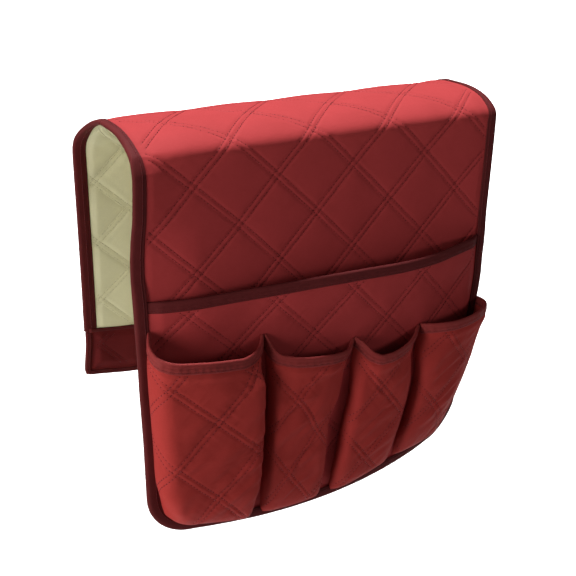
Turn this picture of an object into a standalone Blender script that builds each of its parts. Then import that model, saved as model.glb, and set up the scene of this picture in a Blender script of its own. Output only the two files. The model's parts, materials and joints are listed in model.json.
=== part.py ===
"""Sofa armrest organizer: one long quilted panel that lies over the armrest.

A saddle rests on top of the arm, a front panel with a full-width magazine
pocket and four small pockets hangs outside it, and a back flap with a tuck
band hangs on the seat side.  Every quilted panel is three layers (face
fabric, batting, lining) closed by folded edge bindings.

Frame: +X along the armrest, -Y towards the room (pocket side), +Z up.
The origin is on the underside of the saddle, on the ridge of the arm,
half way along it.  Sizes below are millimetres; "drop" is a distance
measured downwards from the top of the face fabric.
"""
import math

import bmesh
import bpy
import numpy as np
from mathutils import Vector

MM = 0.001

# ---------------------------------------------------------------- sizes
WIDTH = 330.0                 # finished width along the arm
HALF = WIDTH / 2
GAP = 0.3                     # clearance between touching pieces

FACE_T = 1.0                  # face fabric
BATT_T = 2.2                  # batting
LINING_T = 1.0                # lining fabric
PANEL_T = FACE_T + BATT_T + LINING_T + 2 * GAP    # 4.8

TAPE_T = 0.8                  # folded binding tape
TAPE_W = 10.0                 # visible width of the edge binding
MOUTH_W = 8.5                 # visible width of a pocket-mouth binding
EDGE_IN = TAPE_T + GAP        # panel edge inside the binding

# cross-section of the saddle, outer surface (superellipse halves)
FRONT_Y, FRONT_DROP, FRONT_N = 67.1, 23.35, 2.6
BACK_Y, BACK_DROP, BACK_N = 61.75, 30.93, 1.30
BACK_FOLD = 42.0              # the back flap's fold, below a rounded corner
REST_FROM, REST_TO = -10.0, 3.0      # level strip on top of the arm

# front panel
FRONT_BOTTOM = 340.6          # drop of the lowest edge
FRONT_CORNER = 37.0           # corner radius
FRONT_BOW = 14.3              # rise of the bottom edge towards the corners
CURL = 45.6                   # lower right corner swings back by this law
CURL_FROM, CURL_TOP = -99.8, 30.0
CURL_PX, CURL_PZ = 2.57, 2.16

# magazine pocket
MAG_TOP = 127.7               # drop of its mouth
MAG_T = 1.9
MAG_LINING_T = 0.6
MAG_BULGE = 18.0
MAG_ROOM = 1.1                # room behind the sheet for its mouth binding

# small pockets. rim: stations round the mouth as (x, stand in front of the
# magazine pocket, drop). left, right: where the walls stand, as (drop, x).
# plan: the section below the mouth, as fractions of width and depth.
POCKETS = (
    dict(name="remote_pocket",
         rim=((-152, 0, 151), (-152.2, 4.2, 152.8), (-156.4, 8.4, 155),
              (-158.8, 15, 158.5), (-157.2, 22.4, 162.7),
              (-152.2, 26.4, 165.6), (-145.5, 27.2, 167.5),
              (-121.4, 25.5, 170.8), (-94, 20.5, 175), (-84.5, 15.5, 174.6),
              (-77.6, 9.3, 173.3), (-72.6, 4, 170.2), (-70.2, 0, 166.9)),
         left=((180, -159.4), (300, -159.0)), right=((200, -70.5), (320, -70)),
         foot=(-152, -71.5), depth=25.5, hold=6.0, taper=0.0,
         plan=((.055, 0), (.03, .14), (.006, .3), (0, .5), (.012, .72),
               (.05, .9), (.11, .97), (.35, .96), (.6, .86), (.78, .7),
               (.9, .52), (.97, .36), (1, .22), (1, .1), (.99, 0))),
    dict(name="phone_pocket",
         rim=((-63.4, 0, 166.9), (-62.9, 4, 172), (-61.2, 8, 178),
              (-57.8, 12, 182.4), (-47.2, 15.3, 185.7), (-33.7, 16.2, 187.9),
              (-11.2, 14.5, 190.7), (-3, 12.2, 191.5), (3.5, 9, 192.3),
              (9.5, 4.2, 190.5), (12.8, 0, 187)),
         left=((190, -63.6), (320, -64.2)),
         right=((200, 7.6), (221, 5.3), (240, .9), (258, -3.6), (287, -6.5),
                (318, -4.3)),
         foot=(-62.5, -6.0), depth=16.0, hold=3.2, taper=0.0,
         plan=((.02, 0), (.004, .2), (0, .45), (.03, .7), (.1, .88),
               (.25, .98), (.45, 1), (.65, .93), (.82, .78), (.93, .62),
               (1, .45), (1, .25), (.985, 0))),
    dict(name="pen_pocket",
         rim=((19.5, 0, 186.3), (22.0, 4.5, 188.5), (25, 8.5, 192),
              (29, 12.8, 198), (35, 16, 202), (47.4, 16.2, 202),
              (58.3, 14.3, 200.4), (69, 11, 197.8), (77.4, 6, 194.4),
              (83.6, 0, 191)),
         left=((205, 15.8), (243, 15.5), (262, 10), (289, 1.8), (318, 1.0)),
         right=((211, 78.2), (235, 78.6), (261, 75.4), (281, 72.2),
                (302, 68.0)),
         foot=(2.5, 66.0), depth=15.5, hold=3.2, taper=0.0,
         plan=((.02, 0), (.004, .2), (0, .45), (.03, .7), (.1, .88),
               (.25, .98), (.45, 1), (.65, .93), (.82, .78), (.93, .62),
               (1, .45), (1, .25), (.985, 0))),
    dict(name="glasses_pocket",
         rim=((90.4, 0, 191.2), (92.2, 5, 189.8), (96.6, 10, 189.2),
              (105.5, 14.2, 189.3), (117.7, 16.6, 190.4),
              (132, 17.4, 190.4), (143, 17.2, 190), (151.5, 16.4, 189.5),
              (158, 14.2, 188.9), (160.6, 10.6, 188.2), (156.6, 7.2, 187.5),
              (152.2, 4.2, 187), (152, 0, 186.7)),
         left=((213, 86.0), (245, 88), (265, 85.4), (284, 80.8),
               (303, 75.5)),
         right=((205, 160.5), (218, 160.5), (243, 158.5), (269, 155.0),
                (291, 151.0), (303, 147.0)),
         foot=(76.5, 148.0), depth=17.0, hold=2.8, taper=0.55,
         plan=((.02, 0), (.004, .2), (0, .45), (.03, .7), (.1, .88),
               (.25, 1), (.5, 1), (.75, .92), (.9, .74), (.975, .52),
               (1, .37), (.985, .22), (.94, 0))),
)
POCKET_T = 1.5

# back flap and tuck band
BACK_BOTTOM = 199.0
BAND_BOTTOM = 241.0
BAND_HALF = 164.0
BAND_TAPE_W = 6.0

# fold lines (joint axes)
AXIS_OUT = TAPE_T + GAP + 0.1          # just outside the binding's face
LIFT = PANEL_T                         # drop 0 lies this far above origin

# ---------------------------------------------------------------- colours
RED = (0.36, 0.045, 0.05, 1.0)
RED_DEEP = (0.27, 0.032, 0.036, 1.0)
MAROON = (0.085, 0.012, 0.014, 1.0)
BEIGE = (0.40, 0.37, 0.23, 1.0)
WHITE = (0.75, 0.74, 0.70, 1.0)


# ---------------------------------------------------------------- shape laws
def curl(x, drop):
    """How far the front panel has swung back at a point."""
    sx = min(max((x - CURL_FROM) / (HALF - CURL_FROM), 0.0), 1.1)
    sz = min(max((drop - CURL_TOP) / 308.0, 0.0), 1.1)
    return CURL * sx ** CURL_PX * sz ** CURL_PZ


def belly(x, drop):
    """How far the magazine pocket stands off the front panel."""
    s = min(max((x + 153.8) / 307.6, 0.0), 1.0)
    e = max(math.sin(math.pi * s ** 1.5), 0.0) ** 0.7
    w = min(max((drop - MAG_TOP) / 205.0, 0.0), 1.0)
    room = MAG_ROOM * min(max((MAG_TOP + 30.0 - drop) / 20.0, 0.0), 1.0)
    return MAG_BULGE * e * (1.0 - w) ** 1.2 + room


def front_outline(inset, top, n_arc=8, half=HALF):
    """Closed outline of the front panel as (x, drop), inset from its edge."""
    pts = []
    xe = half - FRONT_CORNER
    xs = np.linspace(0.0, xe, 9)
    low = [(x, FRONT_BOTTOM - inset - FRONT_BOW * (x / half) ** 2) for x in xs]
    r = FRONT_CORNER - inset
    cz = low[-1][1] - r
    arc = [(xe + r * math.sin(a), cz + r * math.cos(a))
           for a in np.linspace(0.0, math.pi / 2, n_arc + 1)[1:]]
    right = low + arc + [(half - inset, top)]
    left = [(-x, d) for x, d in reversed(right)]
    pts = left + right[1:]
    return pts


def bottom_drop(x, inset):
    """Drop of the front panel's inset outline under a given x."""
    xe = HALF - FRONT_CORNER
    ax = abs(x)
    base = FRONT_BOTTOM - inset - FRONT_BOW * (min(ax, xe) / HALF) ** 2
    if ax <= xe:
        return base
    r = FRONT_CORNER - inset
    s = min((ax - xe) / r, 1.0)
    return base - r + r * math.sqrt(max(1.0 - s * s, 0.0))


def saddle_profile(n=10):
    """Outer profile of the saddle as (y, z-above-origin), front to back."""
    pts = [(-FRONT_Y, LIFT - FRONT_DROP + GAP / 2),
           (-FRONT_Y, LIFT - FRONT_DROP + 2.0)]
    for i in range(1, n):
        t = (math.pi / 2) * i / n
        y = -FRONT_Y * math.cos(t) ** (2 / FRONT_N)
        z = FRONT_DROP * (math.sin(t) ** (2 / FRONT_N) - 1)
        if z < -2.0:
            pts.append((y, z + LIFT))
    pts.append((-34.0, LIFT - 1.7))
    pts.append((-21.0, LIFT - 0.5))
    pts.append((REST_FROM, LIFT))
    pts.append((REST_TO, LIFT))
    for i in range(n - 1, 0, -1):
        t = (math.pi / 2) * i / n
        y = BACK_Y * math.cos(t) ** (2 / BACK_N)
        z = BACK_DROP * (math.sin(t) ** (2 / BACK_N) - 1)
        if y > REST_TO + 3 and z < -1.2 and y < 50.0:
            pts.append((y, z + LIFT))
    for k in range(0, 6):
        t = k / 5
        y = (1 - t) ** 2 * 52.0 + \
            2 * t * (1 - t) * BACK_Y + t * t * BACK_Y
        d = (1 - t) ** 2 * 22.2 + 2 * t * (1 - t) * 29.6 + \
            t * t * (BACK_FOLD - 2.0)
        pts.append((y, LIFT - d))
    pts.append((BACK_Y, LIFT - BACK_FOLD + GAP / 2))
    return pts


def miter_normals(path):
    """Outward normals at the points of a left-to-right path, mitred."""
    out = []
    n = len(path)
    for i in range(n):
        a = path[max(i - 1, 0)]
        b = path[i]
        c = path[min(i + 1, n - 1)]
        d0 = Vector((b[0] - a[0], b[1] - a[1]))
        d1 = Vector((c[0] - b[0], c[1] - b[1]))
        if d0.length < 1e-9:
            d0 = d1
        if d1.length < 1e-9:
            d1 = d0
        d0.normalize()
        d1.normalize()
        n0 = Vector((-d0.y, d0.x))
        n1 = Vector((-d1.y, d1.x))
        m = (n0 + n1).normalized()
        out.append(m / max(m.dot(n0), 0.5))
    return out


# ---------------------------------------------------------------- builders
def material(name, colour, rough):
    mat = bpy.data.materials.new(name)
    mat.use_nodes = True
    bsdf = mat.node_tree.nodes["Principled BSDF"]
    bsdf.inputs["Base Color"].default_value = colour
    bsdf.inputs["Roughness"].default_value = rough
    bsdf.inputs["Metallic"].default_value = 0.0
    mat.diffuse_color = colour
    return mat


def finish(bm, name, colour, rough, parent=None):
    """Turn a bmesh in millimetres into a named object of the assembly."""
    bmesh.ops.triangulate(bm, faces=bm.faces[:])
    bmesh.ops.recalc_face_normals(bm, faces=bm.faces[:])
    origin = AXES[parent.name] if parent else Vector((0.0, 0.0, 0.0))
    for v in bm.verts:
        v.co = v.co * MM - origin
    mesh = bpy.data.meshes.new(name)
    bm.to_mesh(mesh)
    bm.free()
    mesh.shade_smooth()
    mesh.set_sharp_from_angle(angle=math.radians(35))
    obj = bpy.data.objects.new(name, mesh)
    obj.data.materials.append(material(name, colour, rough))
    PARTS.objects.link(obj)
    if parent:
        obj.parent = parent
    return obj


def grid_lines(lo, hi, step, extra=()):
    """Where a sheet is divided between two of its edges."""
    n = max(int(round((hi - lo) / step)), 1)
    return sorted([lo + (hi - lo) * k / n for k in range(1, n)] +
                  list(extra))


def plate(name, outline, d0, d1, colour, rough, parent, plane, sign,
          bend=None, step=22.0, cuts=((), ()), rim=(), press=(0.0, 0.0)):
    """A sheet layer of a hanging panel.

    outline is (x, drop); the layer lies between depths d0 and d1 behind the
    outer plane, and every point is carried by the panel's own bend law.
    rim is the same outline moved in twice, and press is how far the tape
    pushes the front and the back of the layer in outside it.
    """
    bm = bmesh.new()
    rows = [[bm.verts.new((x, 0.0 if k < len(rim) else 1.0, LIFT - h))
             for x, h in line] for k, line in enumerate([outline, *rim])]
    for a, b in zip(rows, rows[1:]):
        for k in range(len(a) - 1):
            bm.faces.new((a[k], a[k + 1], b[k + 1], b[k]))
    bm.faces.new(rows[-1])
    if bend:
        xs = [p[0] for p in outline]
        hs = [p[1] for p in outline]
        for lo, hi, axis in ((min(xs), max(xs), 0), (min(hs), max(hs), 1)):
            for c in grid_lines(lo, hi, step, cuts[axis]):
                co = Vector((c, 0, 0)) if axis == 0 else Vector((0, 0, LIFT - c))
                no = Vector((1, 0, 0)) if axis == 0 else Vector((0, 0, 1))
                bmesh.ops.bisect_plane(
                    bm, geom=bm.verts[:] + bm.edges[:] + bm.faces[:],
                    dist=1e-5, plane_co=co, plane_no=no)
        bmesh.ops.triangulate(bm, faces=bm.faces[:])
    res = bmesh.ops.extrude_face_region(bm, geom=bm.faces[:])
    moved = {g for g in res["geom"] if isinstance(g, bmesh.types.BMVert)}
    for v in bm.verts:
        pressed = 1.0 - v.co.y
        depth = (d1 - press[1] * pressed if v in moved else
                 d0 + press[0] * pressed)
        off = bend(v.co.x, LIFT - v.co.z) if bend else 0.0
        v.co.y = plane + sign * depth + off
    return finish(bm, name, colour, rough, parent)


def loft(name, rings, colour, rough, parent=None, closed_ring=True):
    """Closed body through a row of equal-length closed sections."""
    bm = bmesh.new()
    vs = [[bm.verts.new(p) for p in ring] for ring in rings]
    m = len(rings[0])
    for a, b in zip(vs, vs[1:]):
        for k in range(m):
            bm.faces.new((a[k], a[(k + 1) % m], b[(k + 1) % m], b[k]))
    bm.faces.new(vs[0])
    bm.faces.new(list(reversed(vs[-1])))
    return finish(bm, name, colour, rough, parent)


def u_section(edge, inward, out, t_out, t_in, width):
    """Folded tape round an edge: a U with a softened fold, open inwards.

    edge is the point on the panel's outer plane, inward and out are unit
    vectors, t_out and t_in are how far the tape stands outside the plane
    and how deep the panel is behind it.
    """
    lo, hi = -(t_in + EDGE_IN), t_out + EDGE_IN
    g0, g1 = -(t_in + GAP), t_out + GAP
    # the leaf on the arm's side is a little narrower than the outer one
    r, q, back = 0.6 * TAPE_T, 0.45 * TAPE_T, width - 0.7
    pts = ((0, hi - r), (r, hi), (width, hi), (width, g1), (TAPE_T, g1),
           (TAPE_T, g0), (back, g0), (back, lo), (q, lo), (0, lo + q))
    return [edge + inward * w + out * h for w, h in pts]


# ---------------------------------------------------------------- scene
for old in list(bpy.data.objects):
    bpy.data.objects.remove(old, do_unlink=True)

PARTS = bpy.data.collections.new("sofa_armrest_organizer")
bpy.context.scene.collection.children.link(PARTS)


AXES = {}                     # world position of every fold line


def axis_empty(name, loc, parent=None):
    e = bpy.data.objects.new(name, None)
    e.empty_display_size = 0.03
    e.location = loc - (AXES[parent.name] if parent else Vector((0, 0, 0)))
    e.parent = parent
    AXES[name] = loc
    PARTS.objects.link(e)
    return e


front_axis = axis_empty("front_fold_axis", Vector(
    (0.0, -(FRONT_Y + AXIS_OUT), LIFT - FRONT_DROP)) * MM)
back_axis = axis_empty("back_fold_axis", Vector(
    (0.0, BACK_Y + AXIS_OUT, LIFT - BACK_FOLD)) * MM)
band_axis = axis_empty("band_fold_axis", Vector(
    (0.0, BACK_Y + AXIS_OUT, LIFT - BACK_BOTTOM)) * MM, back_axis)

PRESS = 0.3                   # the tape's stitches press the lining in
RIM_OUT = HALF - TAPE_W - 0.4
RIM_IN = HALF - TAPE_W - 1.2
LAYERS = (("face", 0.0, FACE_T, RED, 0.55),
          ("batting", FACE_T + GAP, FACE_T + GAP + BATT_T, WHITE, 0.95),
          ("lining", PANEL_T - LINING_T, PANEL_T, BEIGE, 0.8))

# ---- saddle: three layers bent over the arm -----------------------------
profile = saddle_profile()
normals = miter_normals(profile)


def offset_profile(depth):
    return [(p[0] - n.x * depth, p[1] - n.y * depth)
            for p, n in zip(profile, normals)]


for layer, d0, d1, colour, rough in LAYERS:
    half = HALF - EDGE_IN
    # the closed strip section, set out along the arm
    stations = [(-half, d1), (half, d1)]
    if layer == "lining":
        stations = [(-half, d1 - PRESS), (-RIM_OUT, d1 - PRESS),
                    (-RIM_IN, d1), (RIM_IN, d1),
                    (RIM_OUT, d1 - PRESS), (half, d1 - PRESS)]
    outer = offset_profile(d0)
    rings = []
    for x, depth in stations:
        ring = outer + offset_profile(depth)[::-1]
        rings.append([(x, y, z) for y, z in ring])
    loft("saddle_" + layer, rings, colour, rough)

for side, sx in (("left", -1.0), ("right", 1.0)):
    rings = []
    for p, n in zip(profile, normals):
        out = Vector((0.0, n.x, n.y))
        edge = Vector((sx * HALF, p[0], p[1]))
        rings.append(u_section(edge, Vector((-sx, 0, 0)), out,
                               0.0, PANEL_T, TAPE_W))
    loft("saddle_binding_" + side, rings, MAROON, 0.6)

# ---- front panel ---------------------------------------------------------
FRONT_TOP = FRONT_DROP + GAP / 2
for layer, d0, d1, colour, rough in LAYERS:
    plate("front_" + layer, front_outline(EDGE_IN, FRONT_TOP), d0, d1,
          colour, rough, front_axis, -FRONT_Y, 1.0, bend=curl,
          rim=[front_outline(TAPE_W + 0.4, FRONT_TOP),
               front_outline(TAPE_W + 1.2, FRONT_TOP)]
          if layer == "lining" else (), press=(0.0, PRESS))


def front_edge_path():
    """Stations down the left side, round the bottom and up the right."""
    pts = front_outline(0.0, FRONT_TOP)
    dense = []
    for a, b in zip(pts, pts[1:]):
        length = math.hypot(b[0] - a[0], b[1] - a[1])
        n = max(int(math.ceil(length / 24.0)), 1)
        dense += [(a[0] + (b[0] - a[0]) * k / n, a[1] + (b[1] - a[1]) * k / n)
                  for k in range(n)]
    dense.append(pts[-1])
    # the tape steps out over the magazine pocket at its mouth
    step = [MAG_TOP - 2.5, MAG_TOP - 0.8]
    out = []
    for i, (x, h) in enumerate(dense):
        if i and abs(x) > HALF - 0.01:
            h0, h1 = dense[i - 1][1], h
            for s in (step if h1 > h0 else step[::-1]):
                if min(h0, h1) < s < max(h0, h1):
                    out.append((x, s))
        out.append((x, h))
    return out


def inward_normals(path):
    res = []
    for n in miter_normals([(x, -h) for x, h in path]):
        res.append(n)
    return res


path = front_edge_path()
# the magazine pocket lies under the tape
over = MAG_T + MAG_LINING_T + 2 * GAP + MAG_ROOM
rings = []
for (x, h), n in zip(path, inward_normals(path)):
    # walking down the left side and back up the right, n points inwards
    stand = over if h > MAG_TOP - 1.0 else 0.0
    ring = u_section(Vector((x, -FRONT_Y, LIFT - h)), Vector((n.x, 0, n.y)),
                     Vector((0, -1, 0)), stand, PANEL_T, TAPE_W)
    for p in ring:
        p.y += curl(p.x, LIFT - p.z)
    rings.append(ring)
loft("front_edge_binding", rings, MAROON, 0.6, front_axis)

# ---- magazine pocket -----------------------------------------------------


def mag_bend(x, drop):
    return curl(x, drop) - belly(x, drop)


mag_outline = front_outline(EDGE_IN, MAG_TOP + TAPE_T + GAP)
# the sheet lies flat beyond the outer lines, and its mouth is divided finely
MAG_CUTS = ((-153.8, -149.0, 150.5, 153.8), (MAG_TOP + 10.0,))
plate("magazine_pocket_lining", mag_outline, GAP, GAP + MAG_LINING_T,
      BEIGE, 0.8, front_axis, -FRONT_Y, -1.0, bend=mag_bend, step=22.0,
      cuts=MAG_CUTS)
plate("magazine_pocket_face", mag_outline, 2 * GAP + MAG_LINING_T,
      2 * GAP + MAG_LINING_T + MAG_T, RED, 0.55, front_axis, -FRONT_Y, -1.0,
      bend=mag_bend, step=22.0,
      cuts=MAG_CUTS)

MAG_OUT = 2 * GAP + MAG_LINING_T + MAG_T   # its face in front of the panel
rings = []
reach = HALF - TAPE_W - GAP
edge_x = HALF - EDGE_IN
stations = [x for x in grid_lines(-edge_x, edge_x, 22.0, MAG_CUTS[0])
            if abs(x) < reach]
for x in stations:
    out = Vector((0, -1, 0))
    edge = Vector((x, -FRONT_Y - GAP, LIFT - MAG_TOP))
    ring = u_section(edge, Vector((0, 0, -1)), out, MAG_OUT - GAP, 0.0, MOUTH_W)
    for p in ring:
        p.y += mag_bend(p.x, LIFT - p.z)
    rings.append(ring)
loft("magazine_pocket_binding", rings, MAROON, 0.6, front_axis)

# ---- small pockets ---------------------------------------------------------


def along(points, u):
    """Point at each fraction u of an open line's length."""
    p = np.array(points, float)
    d = np.r_[0.0, np.cumsum(np.linalg.norm(np.diff(p, axis=0), axis=1))]
    return np.stack([np.interp(np.asarray(u) * d[-1], d, p[:, k])
                     for k in range(p.shape[1])], -1)


def ease(a, b, x):
    s = min(max((x - a) / (b - a), 0.0), 1.0)
    return s * s * (3 - 2 * s)


def pocket_grid(spec, us=None, vs=(0, .12, .28, .45, .62, .78, .9, 1)):
    """Rows of (x, drop, stand) over one pocket's inner side."""
    if us is None:
        s = np.linspace(0, 1, 14)
        us = 0.4 * s + 0.6 * (0.5 - 0.5 * np.cos(math.pi * s))
    left, right = np.array(spec["left"]), np.array(spec["right"])
    wide = abs(spec["rim"][-1][0] - spec["rim"][0][0])
    plan = [(x * wide, y * spec["depth"]) for x, y in spec["plan"]]
    rim, waist = along(spec["rim"], us), along(plan, us)
    grid = []
    for v in vs:
        row = []
        for u, r, w in zip(us, rim, waist):
            foot = spec["foot"][0] + (spec["foot"][1] - spec["foot"][0]) * u
            top = r[2] + EDGE_IN
            h = top + (bottom_drop(foot, TAPE_W + 2 * GAP) - top) * v
            xl = np.interp(h, left[:, 0], left[:, 1])
            xr = np.interp(h, right[:, 0], right[:, 1])
            low = ease(0.115, 0.42, v)
            x = r[0] + (xl + (xr - xl) * w[0] / wide - r[0]) * low
            x += (foot - x) * ease(0.72, 1.0, v)
            d = r[1] + (w[1] - r[1]) * low
            d *= 1 - spec["taper"] * ease(0.5, 1.0, u) * ease(0.115, 0.8, v)
            d *= max(1 - v ** spec["hold"], 0.0) ** (1 / 1.6)
            # clear of the edge tape
            wall = HALF - TAPE_W - 3.0 + 1.8 * max(d - 4.2, 0.0)
            x = min(max(x, -wall), wall)
            row.append((float(x), float(h), float(d)))
        grid.append(row)
    return grid


def pocket_point(x, h, stand):
    """A point a given distance in front of the magazine pocket's face."""
    return Vector((x, -FRONT_Y - MAG_OUT - 0.8 - stand + mag_bend(x, h),
                   LIFT - h))


for spec in POCKETS:
    grid = pocket_grid(spec)
    inner = [[pocket_point(x, h, d) for x, h, d in row] for row in grid]
    # thickness is laid on horizontally, square to the sheet in plan; both
    # rims stay level with the face that they are sewn to
    outer = []
    for row in inner:
        ns = miter_normals([(p.x, p.y) for p in row])
        line = [Vector((p.x - n.x * POCKET_T, p.y - n.y * POCKET_T, p.z))
                for p, n in zip(row, ns)]
        for k in (0, -1):
            line[k].y = min(line[k].y, row[k].y)
        outer.append(line)
    bm = bmesh.new()
    vi = [[bm.verts.new(p) for p in row] for row in inner]
    vo = [[bm.verts.new(p) for p in row] for row in outer]
    for sheet in (vi, vo):
        for r0, r1 in zip(sheet, sheet[1:]):
            for k in range(len(r0) - 1):
                bm.faces.new((r0[k], r0[k + 1], r1[k + 1], r1[k]))
    for r_i, r_o in ((vi[0], vo[0]), (vi[-1], vo[-1])):
        for k in range(len(r_i) - 1):
            bm.faces.new((r_i[k], r_i[k + 1], r_o[k + 1], r_o[k]))
    for k in (0, -1):
        for j in range(len(vi) - 1):
            bm.faces.new((vi[j][k], vi[j + 1][k], vo[j + 1][k], vo[j][k]))
    finish(bm, spec["name"], RED_DEEP, 0.55, front_axis)

    # folded tape over the mouth, from seam to seam
    rim = inner[0]
    lift = 1.7 / max(grid[0][1][2], 1.0)
    lift_r = 1.7 / max(grid[0][-2][2], 1.0)
    line = [rim[0].lerp(rim[1], lift)] + rim[1:-1] + \
        [rim[-1].lerp(rim[-2], lift_r)]
    rings = []
    for p, n in zip(line, miter_normals([(q.x, q.y) for q in line])):
        out = Vector((-n.x, -n.y, 0.0))
        edge = Vector((p.x, p.y, p.z + EDGE_IN))
        base = mag_bend(p.x, LIFT - p.z)
        ring = u_section(edge, Vector((0, 0, -1)), out, POCKET_T, 0.0,
                         MOUTH_W)
        for q in ring:
            q.y += mag_bend(p.x, LIFT - q.z) - base
        rings.append(ring)
    loft(spec["name"] + "_binding", rings, MAROON, 0.6, front_axis)

# ---- back flap -------------------------------------------------------------
BACK_TOP = BACK_FOLD + GAP / 2
RIPPLE = 0.15                 # of the hanging side tapes
rect = [(-(HALF - EDGE_IN), BACK_TOP), (-(HALF - EDGE_IN), BACK_BOTTOM - GAP / 2),
        (HALF - EDGE_IN, BACK_BOTTOM - GAP / 2), (HALF - EDGE_IN, BACK_TOP)]
rims = [[(math.copysign(w, x), h) for x, h in rect]
        for w in (RIM_OUT, RIM_IN)]
for layer, d0, d1, colour, rough in LAYERS:
    plate("back_" + layer, rect, d0, d1, colour, rough, back_axis,
          BACK_Y, -1.0, rim=rims if layer == "lining" else (),
          press=(0.0, PRESS))

for side, sx in (("left", -1.0), ("right", 1.0)):
    rings = []
    for k, h in enumerate(np.linspace(BACK_TOP, BACK_BOTTOM - GAP / 2, 9)):
        edge = Vector((sx * HALF, BACK_Y, LIFT - h))
        ring = u_section(edge, Vector((-sx, 0, 0)), Vector((0, 1, 0)),
                         0.0, PANEL_T, TAPE_W)
        # the hanging tape ripples a little on both faces
        for i in (0, 1, 2):
            ring[i].y += RIPPLE * (k % 2)
        for i in (7, 8, 9):
            ring[i].y -= RIPPLE * (k % 2)
        rings.append(ring)
    loft("back_binding_" + side, rings, MAROON, 0.6, back_axis)

# ---- tuck band --------------------------------------------------------------
BAND_TOP = BACK_BOTTOM + GAP / 2
bw = BAND_HALF - EDGE_IN
rect = [(-bw, BAND_TOP), (-bw, BAND_BOTTOM - EDGE_IN),
        (bw, BAND_BOTTOM - EDGE_IN), (bw, BAND_TOP)]
rims = [[(math.copysign(BAND_HALF - BAND_TAPE_W - w, x),
          min(h, BAND_BOTTOM - BAND_TAPE_W - w)) for x, h in rect]
        for w in (0.4, 1.2)]
for layer, d0, d1, colour, rough in LAYERS:
    if layer == "lining":
        colour = RED
    plate("tuck_band_" + layer, rect, d0, d1, colour, rough, band_axis,
          BACK_Y, -1.0, rim=rims if layer == "face" else (),
          press=(PRESS, 0.0))

path = [(-BAND_HALF, BAND_TOP), (-BAND_HALF, BAND_BOTTOM),
        (BAND_HALF, BAND_BOTTOM), (BAND_HALF, BAND_TOP)]
rings = []
for (x, h), n in zip(path, inward_normals(path)):
    rings.append(u_section(Vector((x, BACK_Y, LIFT - h)),
                           Vector((n.x, 0, n.y)), Vector((0, 1, 0)),
                           0.0, PANEL_T, BAND_TAPE_W))
loft("tuck_band_binding", rings, MAROON, 0.6, band_axis)
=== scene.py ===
"""Sofa armrest organizer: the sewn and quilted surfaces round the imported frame.

All shape laws are in millimetres, in the frame of the CAD: x along the
armrest, -y the pocket side, +z up. "drop" is the distance below the ridge
of the saddle, and "s" the distance along the cloth from the ridge.
"""

import bpy
import json
import math
import numpy as np
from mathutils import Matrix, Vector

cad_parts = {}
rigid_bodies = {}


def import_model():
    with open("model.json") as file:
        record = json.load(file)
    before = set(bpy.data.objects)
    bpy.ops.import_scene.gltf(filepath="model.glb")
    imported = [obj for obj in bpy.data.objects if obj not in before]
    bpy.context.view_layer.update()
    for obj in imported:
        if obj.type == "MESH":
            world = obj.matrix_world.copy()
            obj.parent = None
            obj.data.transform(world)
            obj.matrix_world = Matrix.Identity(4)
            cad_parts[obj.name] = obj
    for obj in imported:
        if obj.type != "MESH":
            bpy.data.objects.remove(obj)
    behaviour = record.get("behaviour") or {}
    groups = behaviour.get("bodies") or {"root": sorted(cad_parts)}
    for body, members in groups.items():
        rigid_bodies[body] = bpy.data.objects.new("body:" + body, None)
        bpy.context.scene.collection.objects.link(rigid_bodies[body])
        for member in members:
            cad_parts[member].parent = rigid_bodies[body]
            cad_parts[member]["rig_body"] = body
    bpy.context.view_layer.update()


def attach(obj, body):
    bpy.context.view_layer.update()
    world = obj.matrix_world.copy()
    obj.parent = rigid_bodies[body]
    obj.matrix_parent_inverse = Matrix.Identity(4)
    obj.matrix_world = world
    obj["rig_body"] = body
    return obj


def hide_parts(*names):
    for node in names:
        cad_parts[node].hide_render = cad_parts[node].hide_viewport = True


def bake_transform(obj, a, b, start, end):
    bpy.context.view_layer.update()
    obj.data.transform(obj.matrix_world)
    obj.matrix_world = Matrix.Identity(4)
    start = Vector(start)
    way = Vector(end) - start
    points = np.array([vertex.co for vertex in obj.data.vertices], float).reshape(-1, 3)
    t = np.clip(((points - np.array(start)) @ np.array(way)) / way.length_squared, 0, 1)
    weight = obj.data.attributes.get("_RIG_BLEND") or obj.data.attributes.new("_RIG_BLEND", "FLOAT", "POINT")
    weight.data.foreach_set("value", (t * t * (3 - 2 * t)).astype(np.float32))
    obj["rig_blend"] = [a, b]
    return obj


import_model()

MM = 0.001
LIFT = 4.8                     # drop 0 lies this far above the origin
HALF = 165.0
PANEL_T = 4.8
FRONT_Y = 67.1
# (y, drop) from the hanging part up over the arm's front edge to the ridge
BEND = [(-67.1, 43), (-67.2, 36), (-67.45, 30), (-67.8, 24), (-68.1, 20.4),
        (-67.8, 17.4), (-65.8, 14.1), (-62.4, 11.2), (-58.2, 8.4),
        (-53.3, 5.8), (-46.9, 3.5), (-38.5, 1.6), (-29, 0.35), (-20, 0),
        (0, 0)]
BACK_Y, BACK_DROP, BACK_N = 61.75, 30.93, 1.30
BACK_BOTTOM = 199.0
BAND_BOTTOM = 241.0
BAND_HALF = 164.0
CORNER, BOTTOM, BOW = 37.0, 340.6, 14.3
MAG_TOP = 127.7
MAG_FACE = 3.1                 # its outer side in front of the panel
TAPE_W = 10.0


# ------------------------------------------------------------ shape laws
def curl(x, h):
    sx = np.clip((x + 99.8) / 264.8, 0, 1.1)
    sz = np.clip((h - 30) / 308.0, 0, 1.1)
    return 45.6 * sx ** 2.57 * sz ** 2.16


def belly(x, h):
    s = np.clip((x + 153.8) / 307.6, 0, 1)
    e = np.maximum(np.sin(np.pi * s ** 1.5), 0) ** 0.7
    w = np.clip((h - MAG_TOP) / 205.0, 0, 1)
    room = 1.1 * np.clip((MAG_TOP + 30 - h) / 20.0, 0, 1)
    return 18.0 * e * (1 - w) ** 1.2 + room


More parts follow.
